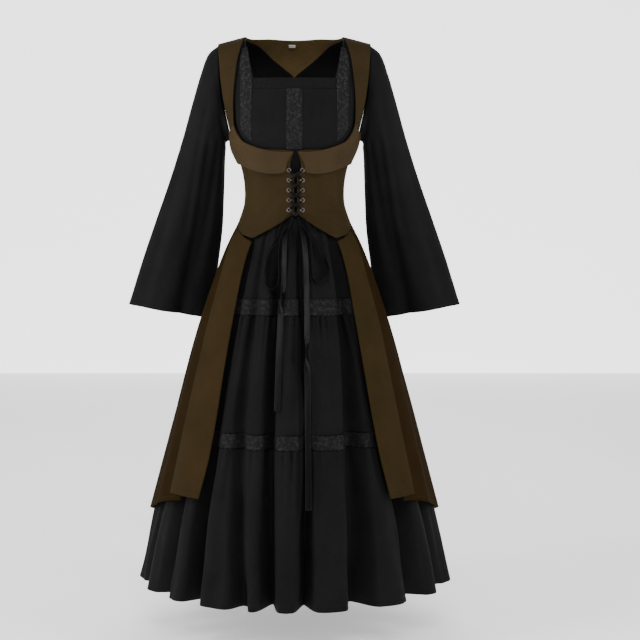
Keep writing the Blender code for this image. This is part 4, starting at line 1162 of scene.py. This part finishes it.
def vest_front_rows():
    top = VEST_FRONT[0]
    upper = row_places(body, top[:2], top[2:], VEST_COLUMNS)
    corner = float(form_angle(body, CORNER_X, CORNER_Z))
    start = float(form_angle(body, FRONT_OPENING, POINT_Z))
    hem = []
    for c in range(VEST_COLUMNS + 1):
        if c <= CORNER_COLUMN:
            angle = mix(start, corner, c / CORNER_COLUMN)
        else:
            share = (c - CORNER_COLUMN) / (VEST_COLUMNS - CORNER_COLUMN)
            angle = mix(corner, math.pi / 2, share)
        hem.append((angle, vest_hem(angle)))
    rows = []
    for step in range(VEST_BODY_STEPS):
        t = step / VEST_BODY_STEPS
        row = []
        for low, high in zip(hem, upper):
            z = mix(low[1], high[1], t)
            edge = float(form_angle(body, FRONT_OPENING, z))
            lean = (low[0] - hem[0][0]) / (math.pi / 2 - hem[0][0])
            high_lean = (high[0] - upper[0][0]) / (math.pi / 2 - upper[0][0])
            row.append((mix(edge, math.pi / 2, mix(lean, high_lean, t)), z))
        rows.append(row)
    rows.append(upper)
    for inner_x, inner_z, outer_x, outer_z in VEST_FRONT[1:]:
        rows.append(row_places(body, (inner_x, inner_z), (outer_x, outer_z), VEST_COLUMNS))
    for drop, inner_x in VEST_SHOULDER:
        outer_x = smooth(ARMHOLE, SHOULDER_Z - drop)[1]
        inner = (inner_x, float(shoulder_line(inner_x)) - drop)
        outer = (outer_x, float(shoulder_line(outer_x)) - drop)
        rows.append(row_places(body, inner, outer, VEST_COLUMNS))
    return rows


# How far the fronts gape above the lacing, each side, and the heights between which it fades.
GAPE = 10.0 * MM
COLLAR_GAPE = 11.0 * MM
GAPE_FOOT = (-0.332, -0.308)
GAPE_TOP = (-0.306, -0.266)


def shifted_front(points, side, gape=GAPE):
    """Mirror a front piece to its side, and move its edge near the centre with the opening."""
    near = np.maximum(0.0, 1 - points[..., 0] / OPENING_REACH)
    moved = points.copy()
    z = points[..., 2]
    open_by = gape * bump_between(z, *GAPE_FOOT) * (1 - bump_between(z, *GAPE_TOP))
    moved[..., 0] = side * (points[..., 0] + open_by * near) + FRONT_SHIFT * near
    return moved


def edge_groove(points, insets, width=1.1 * MM, depth=0.35 * MM):
    """Depth of the topstitch's groove. Insets: from the first and last row, first and last column."""
    total = np.zeros(points.shape[:2])
    down, across = lengths_along(points, 0), lengths_along(points, 1)
    reaches = (down, down[-1:] - down, across, across[:, -1:] - across)
    for reach, inset in zip(reaches, insets):
        if inset:
            total += depth * np.exp(-(((reach - inset) / width) ** 2))
    return total


VEST_STITCH = 5.5 * MM
HEM_STITCH = 9.0 * MM
thread_lines = {"brown": [], "black": []}


def stitched(cloth, points, insets, thick=0.0):
    """Notes a line of stitches inside each edge given an inset, as in edge_groove."""
    for which, inset in enumerate(insets):
        if inset:
            along_rows = which < 2
            index = 0 if which % 2 == 0 else -1
            thread_lines[cloth].append(offset_line(points, index, inset, along_rows))


def vest_fronts():
    places, row_marks, _ = fine_grid(vest_front_rows(), SPACING)
    grid = on_form(body, places[..., 0], places[..., 1], VEST_OUT)
    for name, side in (("vest_front_left", -1), ("vest_front_right", 1)):
        points = shifted_front(grid, side)
        insets = (HEM_STITCH, 0, VEST_STITCH, 0)
        relief = -crease_depth(points, VEST_CREASES) - edge_groove(points, insets)
        points = pushed(points, relief)
        cloth_piece(name, points, finishes["brown"])
        stitched("brown", points, insets)
        strap = points[row_marks[VEST_BODY_STEPS + 3] :]
        thread_lines["brown"].append(offset_line(strap, -1, VEST_STITCH, False))


def vest_back():
    rows = []
    first = []
    for c in range(BACK_COLUMNS + 1):
        angle = math.pi / 2 * c / BACK_COLUMNS
        first.append((angle, vest_hem(math.pi - angle)))
    rows.append(first)
    for z in VEST_BACK_SIDE_ROWS:
        rows.append(row_places(body, (0.0, z), (None, z), BACK_COLUMNS))
    for z in VEST_BACK_ARM_ROWS:
        rows.append(row_places(body, (0.0, z), (smooth(ARMHOLE, z)[1], z), BACK_COLUMNS))
    for inner_x, inner_z, drop in VEST_BACK_NECK:
        outer_x = smooth(ARMHOLE, SHOULDER_Z - drop)[1]
        if inner_z is None:
            inner_z = float(shoulder_line(inner_x)) - drop
        outer = (outer_x, float(shoulder_line(outer_x)) - drop)
        rows.append(row_places(body, (inner_x, inner_z), outer, BACK_COLUMNS))
    places, _, _ = fine_grid(rows, SPACING)
    places[..., 0] = np.maximum(places[..., 0], 0.0)
    flat = on_form(body, math.pi - places[..., 0], places[..., 1], VEST_OUT, SEAM, back=True)
    down = lengths_along(flat, 0)
    x, z = flat[..., 0], flat[..., 2]
    seam_x = np.interp(z, (-0.43, -0.37, -0.28, -0.20), (0.078, 0.062, 0.082, 0.110))
    relief = -1.0 * MM * np.exp(-(((x - seam_x) / (1.6 * MM)) ** 2)) * (z < -0.21)
    relief -= 1.0 * MM * np.exp(-((x / (1.8 * MM)) ** 2)) * (z < -0.04)
    relief -= 0.35 * MM * np.exp(-(((down[-1:] - down - VEST_STITCH) / (1.1 * MM)) ** 2))
    grid, keep = full_back(places, VEST_OUT, relief)
    # The inner face takes a lighter copy of the brown: painted light inside the back neck.
    cloth_piece(
        "vest_back", grid, finishes["brown"], keep=keep, merge=True, painted_light_inside=finishes["brown_inside_painted_light"]
    )
    half = grid.shape[1] // 2
    for part in (grid[:, :half], grid[:, half:]):
        thread_lines["brown"].append(offset_line(part, -1, VEST_STITCH, True))
        thread_lines["brown"].append(offset_line(part, 0, HEM_STITCH, True))


def collars():
    rows = [[] for _ in range(COLLAR_ROWS)]
    for upper_x, upper_z, lower_x, lower_z in COLLAR:
        upper = float(form_angle(body, upper_x, upper_z))
        lower = math.pi / 2 if lower_x is None else float(form_angle(body, lower_x, lower_z))
        for i, row in enumerate(rows):
            t = i / (COLLAR_ROWS - 1)
            row.append((mix(lower, upper, t), mix(lower_z, upper_z, t), mix(*COLLAR_OUT, t)))
    places, _, _ = fine_grid(rows, 2.5 * MM, curved_rows=False, curved_columns=True)
    grid = on_form(body, places[..., 0], places[..., 1], places[..., 2])
    for name, side in (("vest_collar_left", -1), ("vest_collar_right", 1)):
        points = shifted_front(grid, side, COLLAR_GAPE)
        insets = (COLLAR_STITCH, 0, COLLAR_STITCH, 0)
        relief = -edge_groove(points, insets)
        down, across = lengths_along(points, 0), lengths_along(points, 1)
        relief += 0.5 * MM * np.exp(-((down / (2.0 * MM)) ** 2))
        relief += 0.8 * MM * np.sin(across / 0.021 + side) * (1 - down / down[-1:])
        points = pushed(points, relief)
        cloth_piece(name, points, finishes["brown_collar"], wall=1.9 * MM)
        stitched("brown", points, insets)


COLLAR_STITCH = 5.0 * MM


def strip_rows(narrower):
    """Rows of the overskirt's front strip, hem first, as points."""
    rows = []
    for z, inner, outer in reversed(STRIP):
        angles = np.radians(mix(inner, outer - narrower, np.arange(STRIP_COLUMNS + 1) / STRIP_COLUMNS))
        rows.append(on_form(overskirt, angles, np.full(len(angles), z), STRIP_OUT))
    corner = float(form_angle(body, CORNER_X, CORNER_Z))
    end = math.radians(STRIP_TOP_OUTER - narrower)
    for below, form, out in ((STRIP_YOKE, overskirt, STRIP_OUT), (WAIST_GAP, body, VEST_OUT)):
        angles = np.array([mix(corner, end, c / STRIP_COLUMNS) for c in range(STRIP_COLUMNS + 1)])
        heights = np.array([vest_hem(angle) - below for angle in angles])
        rows.append(on_form(form, angles, heights, out))
    return rows


def side_rows(narrower, columns):
    """Rows of the overskirt's side and back panel, hem first, as points."""
    first, last = SIDE_HEM[0][0], SIDE_HEM[-1][0]
    rows = []
    for t in SIDE_STEPS:
        row = []
        for c in range(columns + 1):
            degrees = mix(first - narrower, last, c / columns)
            hem_z, step = smooth(SIDE_HEM, degrees)
            top_start = math.radians(STRIP_TOP_OUTER - narrower + SIDE_TOP_CLEAR)
            top = mix(top_start, math.pi, c / columns)
            angle = mix(math.radians(degrees), top, t)
            z = mix(hem_z, vest_hem(top) - WAIST_GAP, t)
            turn = math.sin(SIDE_FLUTES * (angle - math.pi / 2) * 2)
            flute = SIDE_FLUTE * (1 - t) * max(0.0, 1 - step) * (0.5 + 0.5 * turn)
            if t == 1.0:
                point = on_form(body, angle, z, VEST_OUT, 0.0)
            else:
                point = on_form(overskirt, angle, z, flute - PLEAT_STEP * step * (1 - t**4), 0.0)
            row.append(point)
        rows.append(row)
    grid = np.array(rows)
    grid[..., 0] = np.maximum(grid[..., 0], SEAM / 2)
    return grid


def overskirts():
    for name, side in (("left", -1), ("right", 1)):
        narrower = RIGHT_NARROWER if side > 0 else 0.0
        strip, _, _ = fine_grid(strip_rows(narrower), 5.0 * MM, True, True, angular=False)
        insets = (HEM_STITCH, 0, VEST_STITCH, VEST_STITCH)
        down = lengths_along(strip, 0)
        share = 1 - down / down[-1:]
        across = lengths_along(strip, 1)
        across /= across[:, -1:]
        relief = share * 3.0 * MM * np.sin(math.pi * across) * np.sin(3.0 * share + side)
        relief += 1.2 * MM * np.sin(7 * share + 4 * across + side * 2)
        strip = pushed(strip, relief - edge_groove(strip, insets))
        panel, _, _ = fine_grid(side_rows(narrower, 40), 6.0 * MM, True, True, angular=False)
        down = lengths_along(panel, 0)
        share = np.clip(1 - down / down[-1:], 0, 1)
        across = np.linspace(0, 1, panel.shape[1])[None, :] + 0 * share
        relief = np.zeros(panel.shape[:2])
        for at, lean, wide, deep in PANEL_FOLDS:
            line = at + lean * share
            relief -= deep * share**0.8 * np.exp(-(((across - line) / wide) ** 2))
        relief *= bump_between(across, 0.0, 0.05) * (1 - bump_between(across, 0.97, 1.0))
        panel = pushed(panel, relief - edge_groove(panel, (HEM_STITCH, 0, 0, 0)))
        for part, grid, finish, lines in (
            ("strip", strip, "brown_tail", insets),
            # The side panel's finish is painted shade: a darker copy of the brown cotton.
            ("panel", panel, "brown_side_painted_shade", (HEM_STITCH, 0, 0, 0)),
        ):
            points = grid * np.array([side, 1, 1])
            label = f"overskirt_{part}_{name}"
            cloth_piece(label, points, finishes[finish])
            stitched("brown", points, lines)


# Folds down the overskirt's side panel. Columns: place from its front edge as a share, drift down
# its length, half width as a share, depth.
PANEL_FOLDS = (
    (0.16, 0.02, 0.022, 5.0 * MM),
    (0.27, -0.01, 0.030, 8.0 * MM),
    (0.40, 0.01, 0.030, 9.0 * MM),
    (0.53, -0.01, 0.030, 9.0 * MM),
    (0.66, 0.01, 0.030, 9.0 * MM),
    (0.79, 0.0, 0.030, 9.0 * MM),
    (0.91, 0.0, 0.026, 7.0 * MM),
)


TIERS = (
    ("skirt_tier_1", TIER_1, 11, 3.4 * MM, (1.6 * MM, 4.0 * MM)),
    ("skirt_tier_2", TIER_2, 12, 3.4 * MM, (2.2 * MM, 5.0 * MM)),
    ("skirt_tier_3", TIER_3, 13, 3.0 * MM, (2.2 * MM, 5.6 * MM)),
)


def fold_profile(angle, z):
    """Share of the folds' depth at angles round the skirt, at a height."""
    centres = [linear(tuple(zip(FOLD_HEIGHTS, fold[:3])), z)[0] for fold in FOLDS]
    places, shares = [], []
    for i, fold in enumerate(FOLDS):
        for place, depth in VALLEY:
            places.append(math.radians(centres[i] + place * fold[3]))
            shares.append(fold[4] * depth)
        following = (i + 1) % len(FOLDS)
        start = centres[i] + fold[3]
        end = centres[following] - FOLDS[following][3] + (360.0 if following == 0 else 0.0)
        for place, depth in CROWN:
            places.append(math.radians(mix(start, end, place)))
            shares.append(depth)
    total = np.zeros_like(angle)
    for shift in FOLD_SOFTENING:
        total += np.interp(angle + math.radians(shift), places, shares, period=math.tau)
    return total / len(FOLD_SOFTENING)


FOLD_SOFTENING = (-1.2, -0.6, 0.0, 0.6, 1.2)


def skirt_grid(heights, columns):
    """Folded skirt at heights, hem first, with the angles round it."""
    angle = math.tau * np.arange(columns) / columns - math.pi
    grid = []
    for z in heights:
        depth = smooth(FOLD_DEPTH, z)[0]
        points = on_form(skirt, angle, np.full(columns, z), 0.0, 0.0)
        inwards = depth * fold_profile(angle, z)
        reach = np.hypot(points[:, 0], points[:, 1])
        points[:, :2] *= (1 - inwards / reach)[:, None]
        grid.append(points)
    return np.array(grid), np.broadcast_to(angle, (len(grid), columns))


def tiers():
    for name, table, seed, gather, flute in TIERS:
        low, high = table[0][0], table[-1][0]
        rows = round((high - low) / (5.5 * MM))
        heights = np.concatenate([np.linspace(low, high, rows), []])
        grid, angle = skirt_grid(heights, 640)
        z = grid[..., 2]
        drop = (high - z) / (high - low)
        tight = np.exp(-drop * 5.5) * bump_between(high - z, 0.0, 0.004)
        relief = gather * tight * waves(seed, angle, 84, 128, 14)
        relief += gather * 0.9 * np.exp(-drop * 2.4) * waves(seed + 40, angle, 40, 72, 12)
        soft = mix(*flute, drop)
        relief += soft * waves(seed + 20, angle + 0.02 * np.sin(9 * drop + 4 * angle), 18, 34, 10)
        relief *= bump_between(high - z, -0.001, 0.006)
        covered = bump_between(z, *WAIST_TUCK_Z)
        relief = relief * (1 - 0.8 * covered) - WAIST_TUCK * covered
        if name == "skirt_tier_3":
            hem = z - low
            relief -= 0.5 * MM * np.exp(-(((hem - TIER_HEM) / (1.4 * MM)) ** 2))
        points = pushed_tube(grid, relief)
        cloth_piece(name, points, finishes["black"], closed=True)
        if name == "skirt_tier_3":
            wrapped = np.concatenate([points, points[:, :1]], axis=1)
            thread_lines["black"].append(offset_line(wrapped, 0, TIER_HEM, True))


TIER_HEM = 0.014

# How far the skirt is drawn in under the overdress, and the heights between which it starts.
WAIST_TUCK = 5.0 * MM
WAIST_TUCK_Z = (-0.425, -0.400)


def skirt_laces():
    for name, table, seed in (("skirt_lace_upper", UPPER_LACE, 31), ("skirt_lace_lower", LOWER_LACE, 32)):
        low, high = table[0][0] - LACE_LAP, table[-1][0] + LACE_LAP
        grid, angle = skirt_grid(np.linspace(low, high, 13), 900)
        share = np.linspace(0, 1, 13)[:, None]
        scallop = np.abs(np.sin(angle * SCALLOPS / 2))
        grid[..., 2] += SCALLOP_DEPTH * scallop * (0.5 - share) * -2
        relief = LACE_RISE + 1.2 * MM * waves(seed, angle, 18, 34, 10)
        relief += 0.35 * MM * np.exp(-(((share - 0.5) / 0.07) ** 2))
        points = pushed_tube(grid, relief)
        cloth_piece(name, points, finishes["lace_band"], wall=LACE, closed=True)


LACE_LAP = 1.2 * MM
LACE_RISE = 1.8 * MM
SCALLOPS = 150
SCALLOP_DEPTH = 1.6 * MM


def bodice_laces():
    rows = [row_places(body, edge[:2], edge[2:], 2) for edge in SIDE_LACE]
    places, _, _ = fine_grid(rows, 2.0 * MM, True, True)
    right = on_form(body, places[..., 0], places[..., 1], LACE_OUT)
    reach = lengths_along(right, 0)
    share = np.linspace(-1, 1, right.shape[1])[None, :]
    right[..., 0] += SCALLOP_DEPTH * 0.6 * share**3 * np.abs(np.sin(reach / 0.0035))
    left = right * np.array([-1, 1, 1])
    cloth_piece("bodice_lace_right", right, finishes["lace"], wall=LACE)
    cloth_piece("bodice_lace_left", left, finishes["lace"], wall=LACE)
    for name, half, heights, columns in (
        ("bodice_lace_centre", CENTRE_LACE_X, CENTRE_LACE_Z, 2),
        ("neck_band", NECKLINE_X - SEAM, NECK_BAND_Z, NECK_BAND_COLUMNS),
    ):
        rows = []
        for z in heights:
            edge = float(form_angle(body, half, z))
            rows.append([(mix(-edge, edge, c / columns), z) for c in range(columns + 1)])
        places, _, _ = fine_grid(rows, 2.0 * MM, True, False)
        grid = on_form(body, places[..., 0], places[..., 1], LACE_OUT)
        reach = lengths_along(grid, 0)
        if name == "neck_band":
            relief = 0.45 * MM * np.cos(reach / (reach.max() / 4) * math.tau)
            relief += 0.25 * MM * np.cos(lengths_along(grid, 1) / 0.0021)
            finish = finishes["black_soft"]
        else:
            share = np.linspace(-1, 1, grid.shape[1])[None, :]
            grid[..., 0] += SCALLOP_DEPTH * 0.6 * share**3 * np.abs(np.sin(reach / 0.0035))
            relief = np.zeros(grid.shape[:2])
            finish = finishes["lace"]
        cloth_piece(name, pushed(grid, relief), finish, wall=LACE)


LACE_OUT = -0.9 * MM


def vest_face(x, z, out):
    """Points in front of the overdress's face, and the directions out of it."""
    x, z = np.asarray(x, float), np.asarray(z, float)
    angle = form_angle(body, x - FRONT_SHIFT, z)
    base = on_form(body, angle, z)
    point = on_form(body, angle, z, out)
    away = point - base
    away = away / np.maximum(np.linalg.norm(away, axis=-1, keepdims=True), 1e-9)
    return np.stack([x, point[..., 1], z], -1), away


def eyelet_place(pair, side):
    return side * EYELET_X + FRONT_SHIFT, EYELET_TOP_Z - EYELET_PITCH * pair


# Section of an eyelet's rolled flange. Columns: share of the way from hole to rim, height.
FLANGE = ((0.0, -0.5), (0.0, 0.4), (0.06, 0.9), (0.22, 1.25), (0.5, 1.35), (0.78, 1.1), (0.95, 0.6), (1.0, 0.0))


def eyelets():
    count = 48
    turn = math.tau * np.arange(count) / count
    for pair in range(EYELET_PAIRS):
        for side, label in ((-1, "left"), (1, "right")):
            x, z = eyelet_place(pair, side)
            centre, up = vest_face(x, z, VEST_OUT + EYELET_GAP)
            across = np.cross(up, (0.0, 0.0, 1.0))
            across /= np.linalg.norm(across)
            along = np.cross(across, up)
            rings = []
            for share, height in FLANGE:
                r = mix(EYELET_HOLE_R, EYELET_R, share)
                ring = np.cos(turn)[:, None] * across + np.sin(turn)[:, None] * along
                rings.append(centre + ring * r + up * height * MM)
            verts = np.concatenate(rings)
            faces = []
            for i in range(len(rings) - 1):
                for c in range(count):
                    n = (c + 1) % count
                    faces.append((i * count + c, i * count + n, (i + 1) * count + n, (i + 1) * count + c))
            name = f"eyelet_{label}_{pair + 1}"
            mesh = bpy.data.meshes.new(name)
            mesh.from_pydata(verts.tolist(), [], faces)
            mesh.polygons.foreach_set("use_smooth", np.ones(len(faces), bool))
            make_piece(name, mesh, finishes["silver"], [name])


def band_grid(points, widths, outs, columns, curl, folds=()):
    """Grid across a ribbon: curled along its length, with folds given as frequency and depth."""
    share = np.linspace(-0.5, 0.5, columns)
    curve = curl * (1 - (2 * share) ** 2)
    for waves_across, deep, start in folds:
        curve = curve + deep * np.cos(share * waves_across * math.tau + start)
    grid = points[:, None, :] + widths[:, None, :] * share[None, :, None]
    return grid + outs[:, None, :] * curve[None, :, None]


def ribbon_mesh(name, grid, nodes, wall=RIBBON):
    centre = grid.mean(axis=(0, 1)) + np.array([0, 0.05, 0])
    return cloth_piece(name, grid, finishes["satin"], wall=wall, nodes=nodes, centre=centre)


def lacing():
    number = 0
    for pair in range(EYELET_PAIRS - 1):
        for side, rise in ((-1, LACING_RISE[0]), (1, LACING_RISE[1])):
            number += 1
            start_x, start_z = eyelet_place(pair, side)
            end_x, end_z = eyelet_place(pair + 1, -side)
            start_z -= LACING_SHIFT
            end_z += LACING_SHIFT
            along = np.array([end_x - start_x, 0, end_z - start_z])
            along /= np.linalg.norm(along)
            across = np.array([-along[2], 0, along[0]])
            t = np.linspace(0, 1, 33)
            hump = np.sin(math.pi * t)
            points, outs = vest_face(
                mix(start_x, end_x, t), mix(start_z, end_z, t), LACING_OUT + rise * hump - 0.8 * MM
            )
            dive = np.clip(1 - np.minimum(t, 1 - t) / 0.09, 0, 1)
            points -= outs * (dive * 4.5 * MM)[:, None]
            widths = across[None, :] * mix(LACING_WIDTH[0], LACING_WIDTH[1], hump)[:, None]
            folds = ((2.3, 0.45 * MM, number * 1.3), (3.7, 0.25 * MM, number * 0.7))
            grid = band_grid(points, widths, outs, 15, 0.9 * MM, folds)
            ribbon_mesh(f"lacing_{number}", grid, [f"lacing_{number}"], wall=0.4 * MM)


def skirt_front_y(x, z):
    """Depth of the foremost cloth at the front of the gown at a place near its centre."""
    slope = (POINT_Z - CORNER_Z) / CORNER_X
    form = skirt if z < POINT_Z - HEM_MARGIN - abs(x) * slope else body
    extra = 0.0 if form is skirt else VEST_OUT
    return float(on_form(form, form_angle(form, x, z), z, extra)[1])


def route_line(route, clear, spacing):
    """Places and turns at an even spacing on the smooth curve through a ribbon's route."""
    anchors = [(x, skirt_front_y(x, z) - clear - off, z, turn) for x, z, off, turn in route]
    lengths = [0.0]
    for a, b in zip(anchors, anchors[1:]):
        lengths.append(lengths[-1] + math.dist(a[:3], b[:3]))
    table = tuple((length, *anchor) for length, anchor in zip(lengths, anchors))
    steps = round(lengths[-1] / spacing)
    line = np.array([smooth(table, lengths[-1] * step / steps) for step in range(steps + 1)])
    return line[:, :3], np.radians(line[:, 3])


RIBBON_STEP = 3.0 * MM
RIBBON_SPREAD = 30.0 * MM


def ribbon(name, route, clear, curl):
    points, turns = route_line(route, clear, RIBBON_STEP)
    along = np.gradient(points, axis=0)
    along /= np.linalg.norm(along, axis=1, keepdims=True)
    out = np.array([0.0, -1.0, 0.0]) - along * (along @ np.array([0.0, -1.0, 0.0]))[:, None]
    out /= np.linalg.norm(out, axis=1, keepdims=True)
    flat = np.cross(along, out)
    gathered = mix(0.45, 1.0, bump_between(np.arange(len(points)) * RIBBON_STEP, 0.0, RIBBON_SPREAD))
    widths = (flat * np.cos(turns)[:, None] + out * np.sin(turns)[:, None]) * RIBBON_WIDTH
    widths *= gathered[:, None]
    outs = np.cross(widths, along)
    outs /= np.linalg.norm(outs, axis=1, keepdims=True)
    outs *= np.where((outs * out).sum(axis=1) < 0, -1, 1)[:, None]
    grid = band_grid(points, widths, outs, 11, curl)
    obj = ribbon_mesh(name, grid, [name])


def knot():
    front = float(vest_face(KNOT.x, KNOT.z, VEST_OUT)[0][1])
    centre = np.array([KNOT.x, front - KNOT_CLEAR - KNOT_SIZE.y, KNOT.z])
    rows, columns = 33, 64
    lat = np.linspace(-math.pi / 2, math.pi / 2, rows)[:, None]
    lon = math.tau * np.arange(columns)[None, :] / columns
    crush = 1 + 0.07 * np.cos(5 * lat + 1.4 * np.sin(lon)) + 0.05 * np.cos(9 * lat - 2 * np.cos(lon))
    unit = np.stack([np.sin(lat) + 0 * lon, np.cos(lat) * np.cos(lon), np.cos(lat) * np.sin(lon)], -1)
    shape = np.array([KNOT_SIZE.x, KNOT_SIZE.y, KNOT_SIZE.z])
    verts = centre + unit * shape * crush[..., None]
    verts = verts.reshape(-1, 3)
    faces = []
    for r in range(rows - 1):
        for c in range(columns):
            n = (c + 1) % columns
            faces.append((r * columns + c, r * columns + n, (r + 1) * columns + n, (r + 1) * columns + c))
    mesh = bpy.data.meshes.new("bow_knot")
    mesh.from_pydata(verts.tolist(), [], faces)
    bm = bmesh.new()
    bm.from_mesh(mesh)
    bmesh.ops.remove_doubles(bm, verts=bm.verts, dist=0.02 * MM)
    bmesh.ops.recalc_face_normals(bm, faces=bm.faces)
    bm.to_mesh(mesh)
    bm.free()
    mesh.polygons.foreach_set("use_smooth", np.ones(len(mesh.polygons), bool))
    make_piece("bow_knot", mesh, finishes["satin"], ["bow_knot"])


def neck_label():
    half, height = LABEL_SIZE[0] / 2, LABEL_SIZE[1]
    z = np.linspace(LABEL_Z - height / 2, LABEL_Z + height / 2, 8)[:, None]
    x = np.linspace(LABEL_X - half, LABEL_X + half, 20)[None, :]
    x, z = x + 0 * z, z + 0 * x
    angle = math.pi - form_angle(body, x, z)
    grid = on_form(body, angle, z, LABEL_OUT)
    cloth_piece("neck_label", grid, finishes["label"], wall=RIBBON)


def aimed(obj, target):
    direction = Vector(target) - obj.location
    obj.rotation_euler = direction.to_track_quat("-Z", "Y").to_euler()


CAMERA_AT = (0.0, -3.0, -0.496)
CAMERA_LOOK = (0.0, 0.0, -0.5552)
CAMERA_SHIFT = (0.040, -0.070)
SENSOR = 36.0
FRAME_WIDTH = 1.504
FLOOR_Z = -1.365

# Soft studio lights. Columns: place, aim, width, height, watts.
LIGHTS = (
    ((0.0, -3.4, 2.2), (0.0, 0.0, -0.55), 2.4, 1.2, 95.0),
    ((-2.9, -1.3, 0.4), (0.0, 0.0, -0.7), 1.1, 2.6, 110.0),
    ((2.9, -1.3, 0.4), (0.0, 0.0, -0.7), 1.1, 2.6, 70.0),
    ((0.0, 2.8, 1.8), (0.0, 0.0, -0.6), 2.6, 1.2, 60.0),
)
AMBIENT = 0.42
BACKDROP_GLOW = 1.9
FLOOR_GLOW = 0.42


def camera():
    data = bpy.data.cameras.new("camera")
    data.sensor_width = SENSOR
    distance = (Vector(CAMERA_LOOK) - Vector(CAMERA_AT)).length
    data.lens = SENSOR * distance / FRAME_WIDTH
    data.shift_x, data.shift_y = CAMERA_SHIFT
    obj = bpy.data.objects.new("camera", data)
    obj.location = CAMERA_AT
    bpy.context.scene.collection.objects.link(obj)
    aimed(obj, CAMERA_LOOK)
    bpy.context.scene.camera = obj


def studio():
    world = bpy.data.worlds.new("studio")
    world.use_nodes = True
    background = world.node_tree.nodes["Background"]
    background.inputs["Color"].default_value = (1.0, 1.0, 1.0, 1.0)
    background.inputs["Strength"].default_value = AMBIENT
    bpy.context.scene.world = world
    for i, (place, aim, width, height, watts) in enumerate(LIGHTS):
        data = bpy.data.lights.new(f"softbox_{i + 1}", "AREA")
        data.shape = "RECTANGLE"
        data.size, data.size_y, data.energy = width, height, watts
        obj = bpy.data.objects.new(data.name, data)
        obj.location = place
        bpy.context.scene.collection.objects.link(obj)
        aimed(obj, aim)
    reach = 12.0
    near = ((-reach, -reach, 0), (reach, -reach, 0), (reach, reach, 0), (-reach, reach, 0))
    far = ((-4.5, 6.0, -0.6), (4.5, 6.0, -0.6), (4.5, 6.0, 6.0), (-4.5, 6.0, 6.0))
    for name, corners, glow in (("pale_floor", near, FLOOR_GLOW), ("pale_backdrop", far, BACKDROP_GLOW)):
        pale = Finish(name, 0.75, Specular_IOR_Level=0.2, Emission_Color=(1.0, 1.0, 1.0, 1.0))
        pale.shader.inputs["Emission Strength"].default_value = glow
        pale.colour(pale.noise("Object", 1.5, 2.0), (0.3, (0.84, 0.84, 0.84)), (0.7, (0.88, 0.88, 0.88)))
        mesh = bpy.data.meshes.new(name)
        mesh.from_pydata(corners, [], [(0, 1, 2, 3)])
        mesh.materials.append(pale.material)
        obj = bpy.data.objects.new(name, mesh)
        obj.location.z = FLOOR_Z
        bpy.context.scene.collection.objects.link(obj)


camera()
ribbon("ribbon_end_left", LEFT_END, RIBBON_CLEAR, 0.8 * MM)
ribbon("ribbon_end_right", RIGHT_END, RIBBON_CLEAR, 0.8 * MM)
ribbon("bow_loop_left", LEFT_LOOP, LOOP_CLEAR, 0.6 * MM)
ribbon("bow_loop_right", RIGHT_LOOP, LOOP_CLEAR, 0.6 * MM)
studio()
dress_front()
dress_back()
sleeve_lines = []
for name, side in (("sleeve_left", -1), ("sleeve_right", 1)):
    points = sleeve(name, side)
    wrapped = np.concatenate([points, points[:, :1]], axis=1)
    middle = wrapped.mean(axis=(0, 1)) * np.array([1, 1, 0])
    line, ups = offset_line(wrapped - middle, -1, 0.018, True)
    sleeve_lines.append((line + middle, ups))
thread_lines["black"] += sleeve_lines
tiers()
skirt_laces()
bodice_laces()
vest_fronts()
vest_back()
collars()
overskirts()
eyelets()
lacing()
knot()
neck_label()
stitches("brown_topstitching", thread_lines["brown"], finishes["brown_thread"])
stitches("black_hem_stitching", thread_lines["black"], finishes["black_thread"])
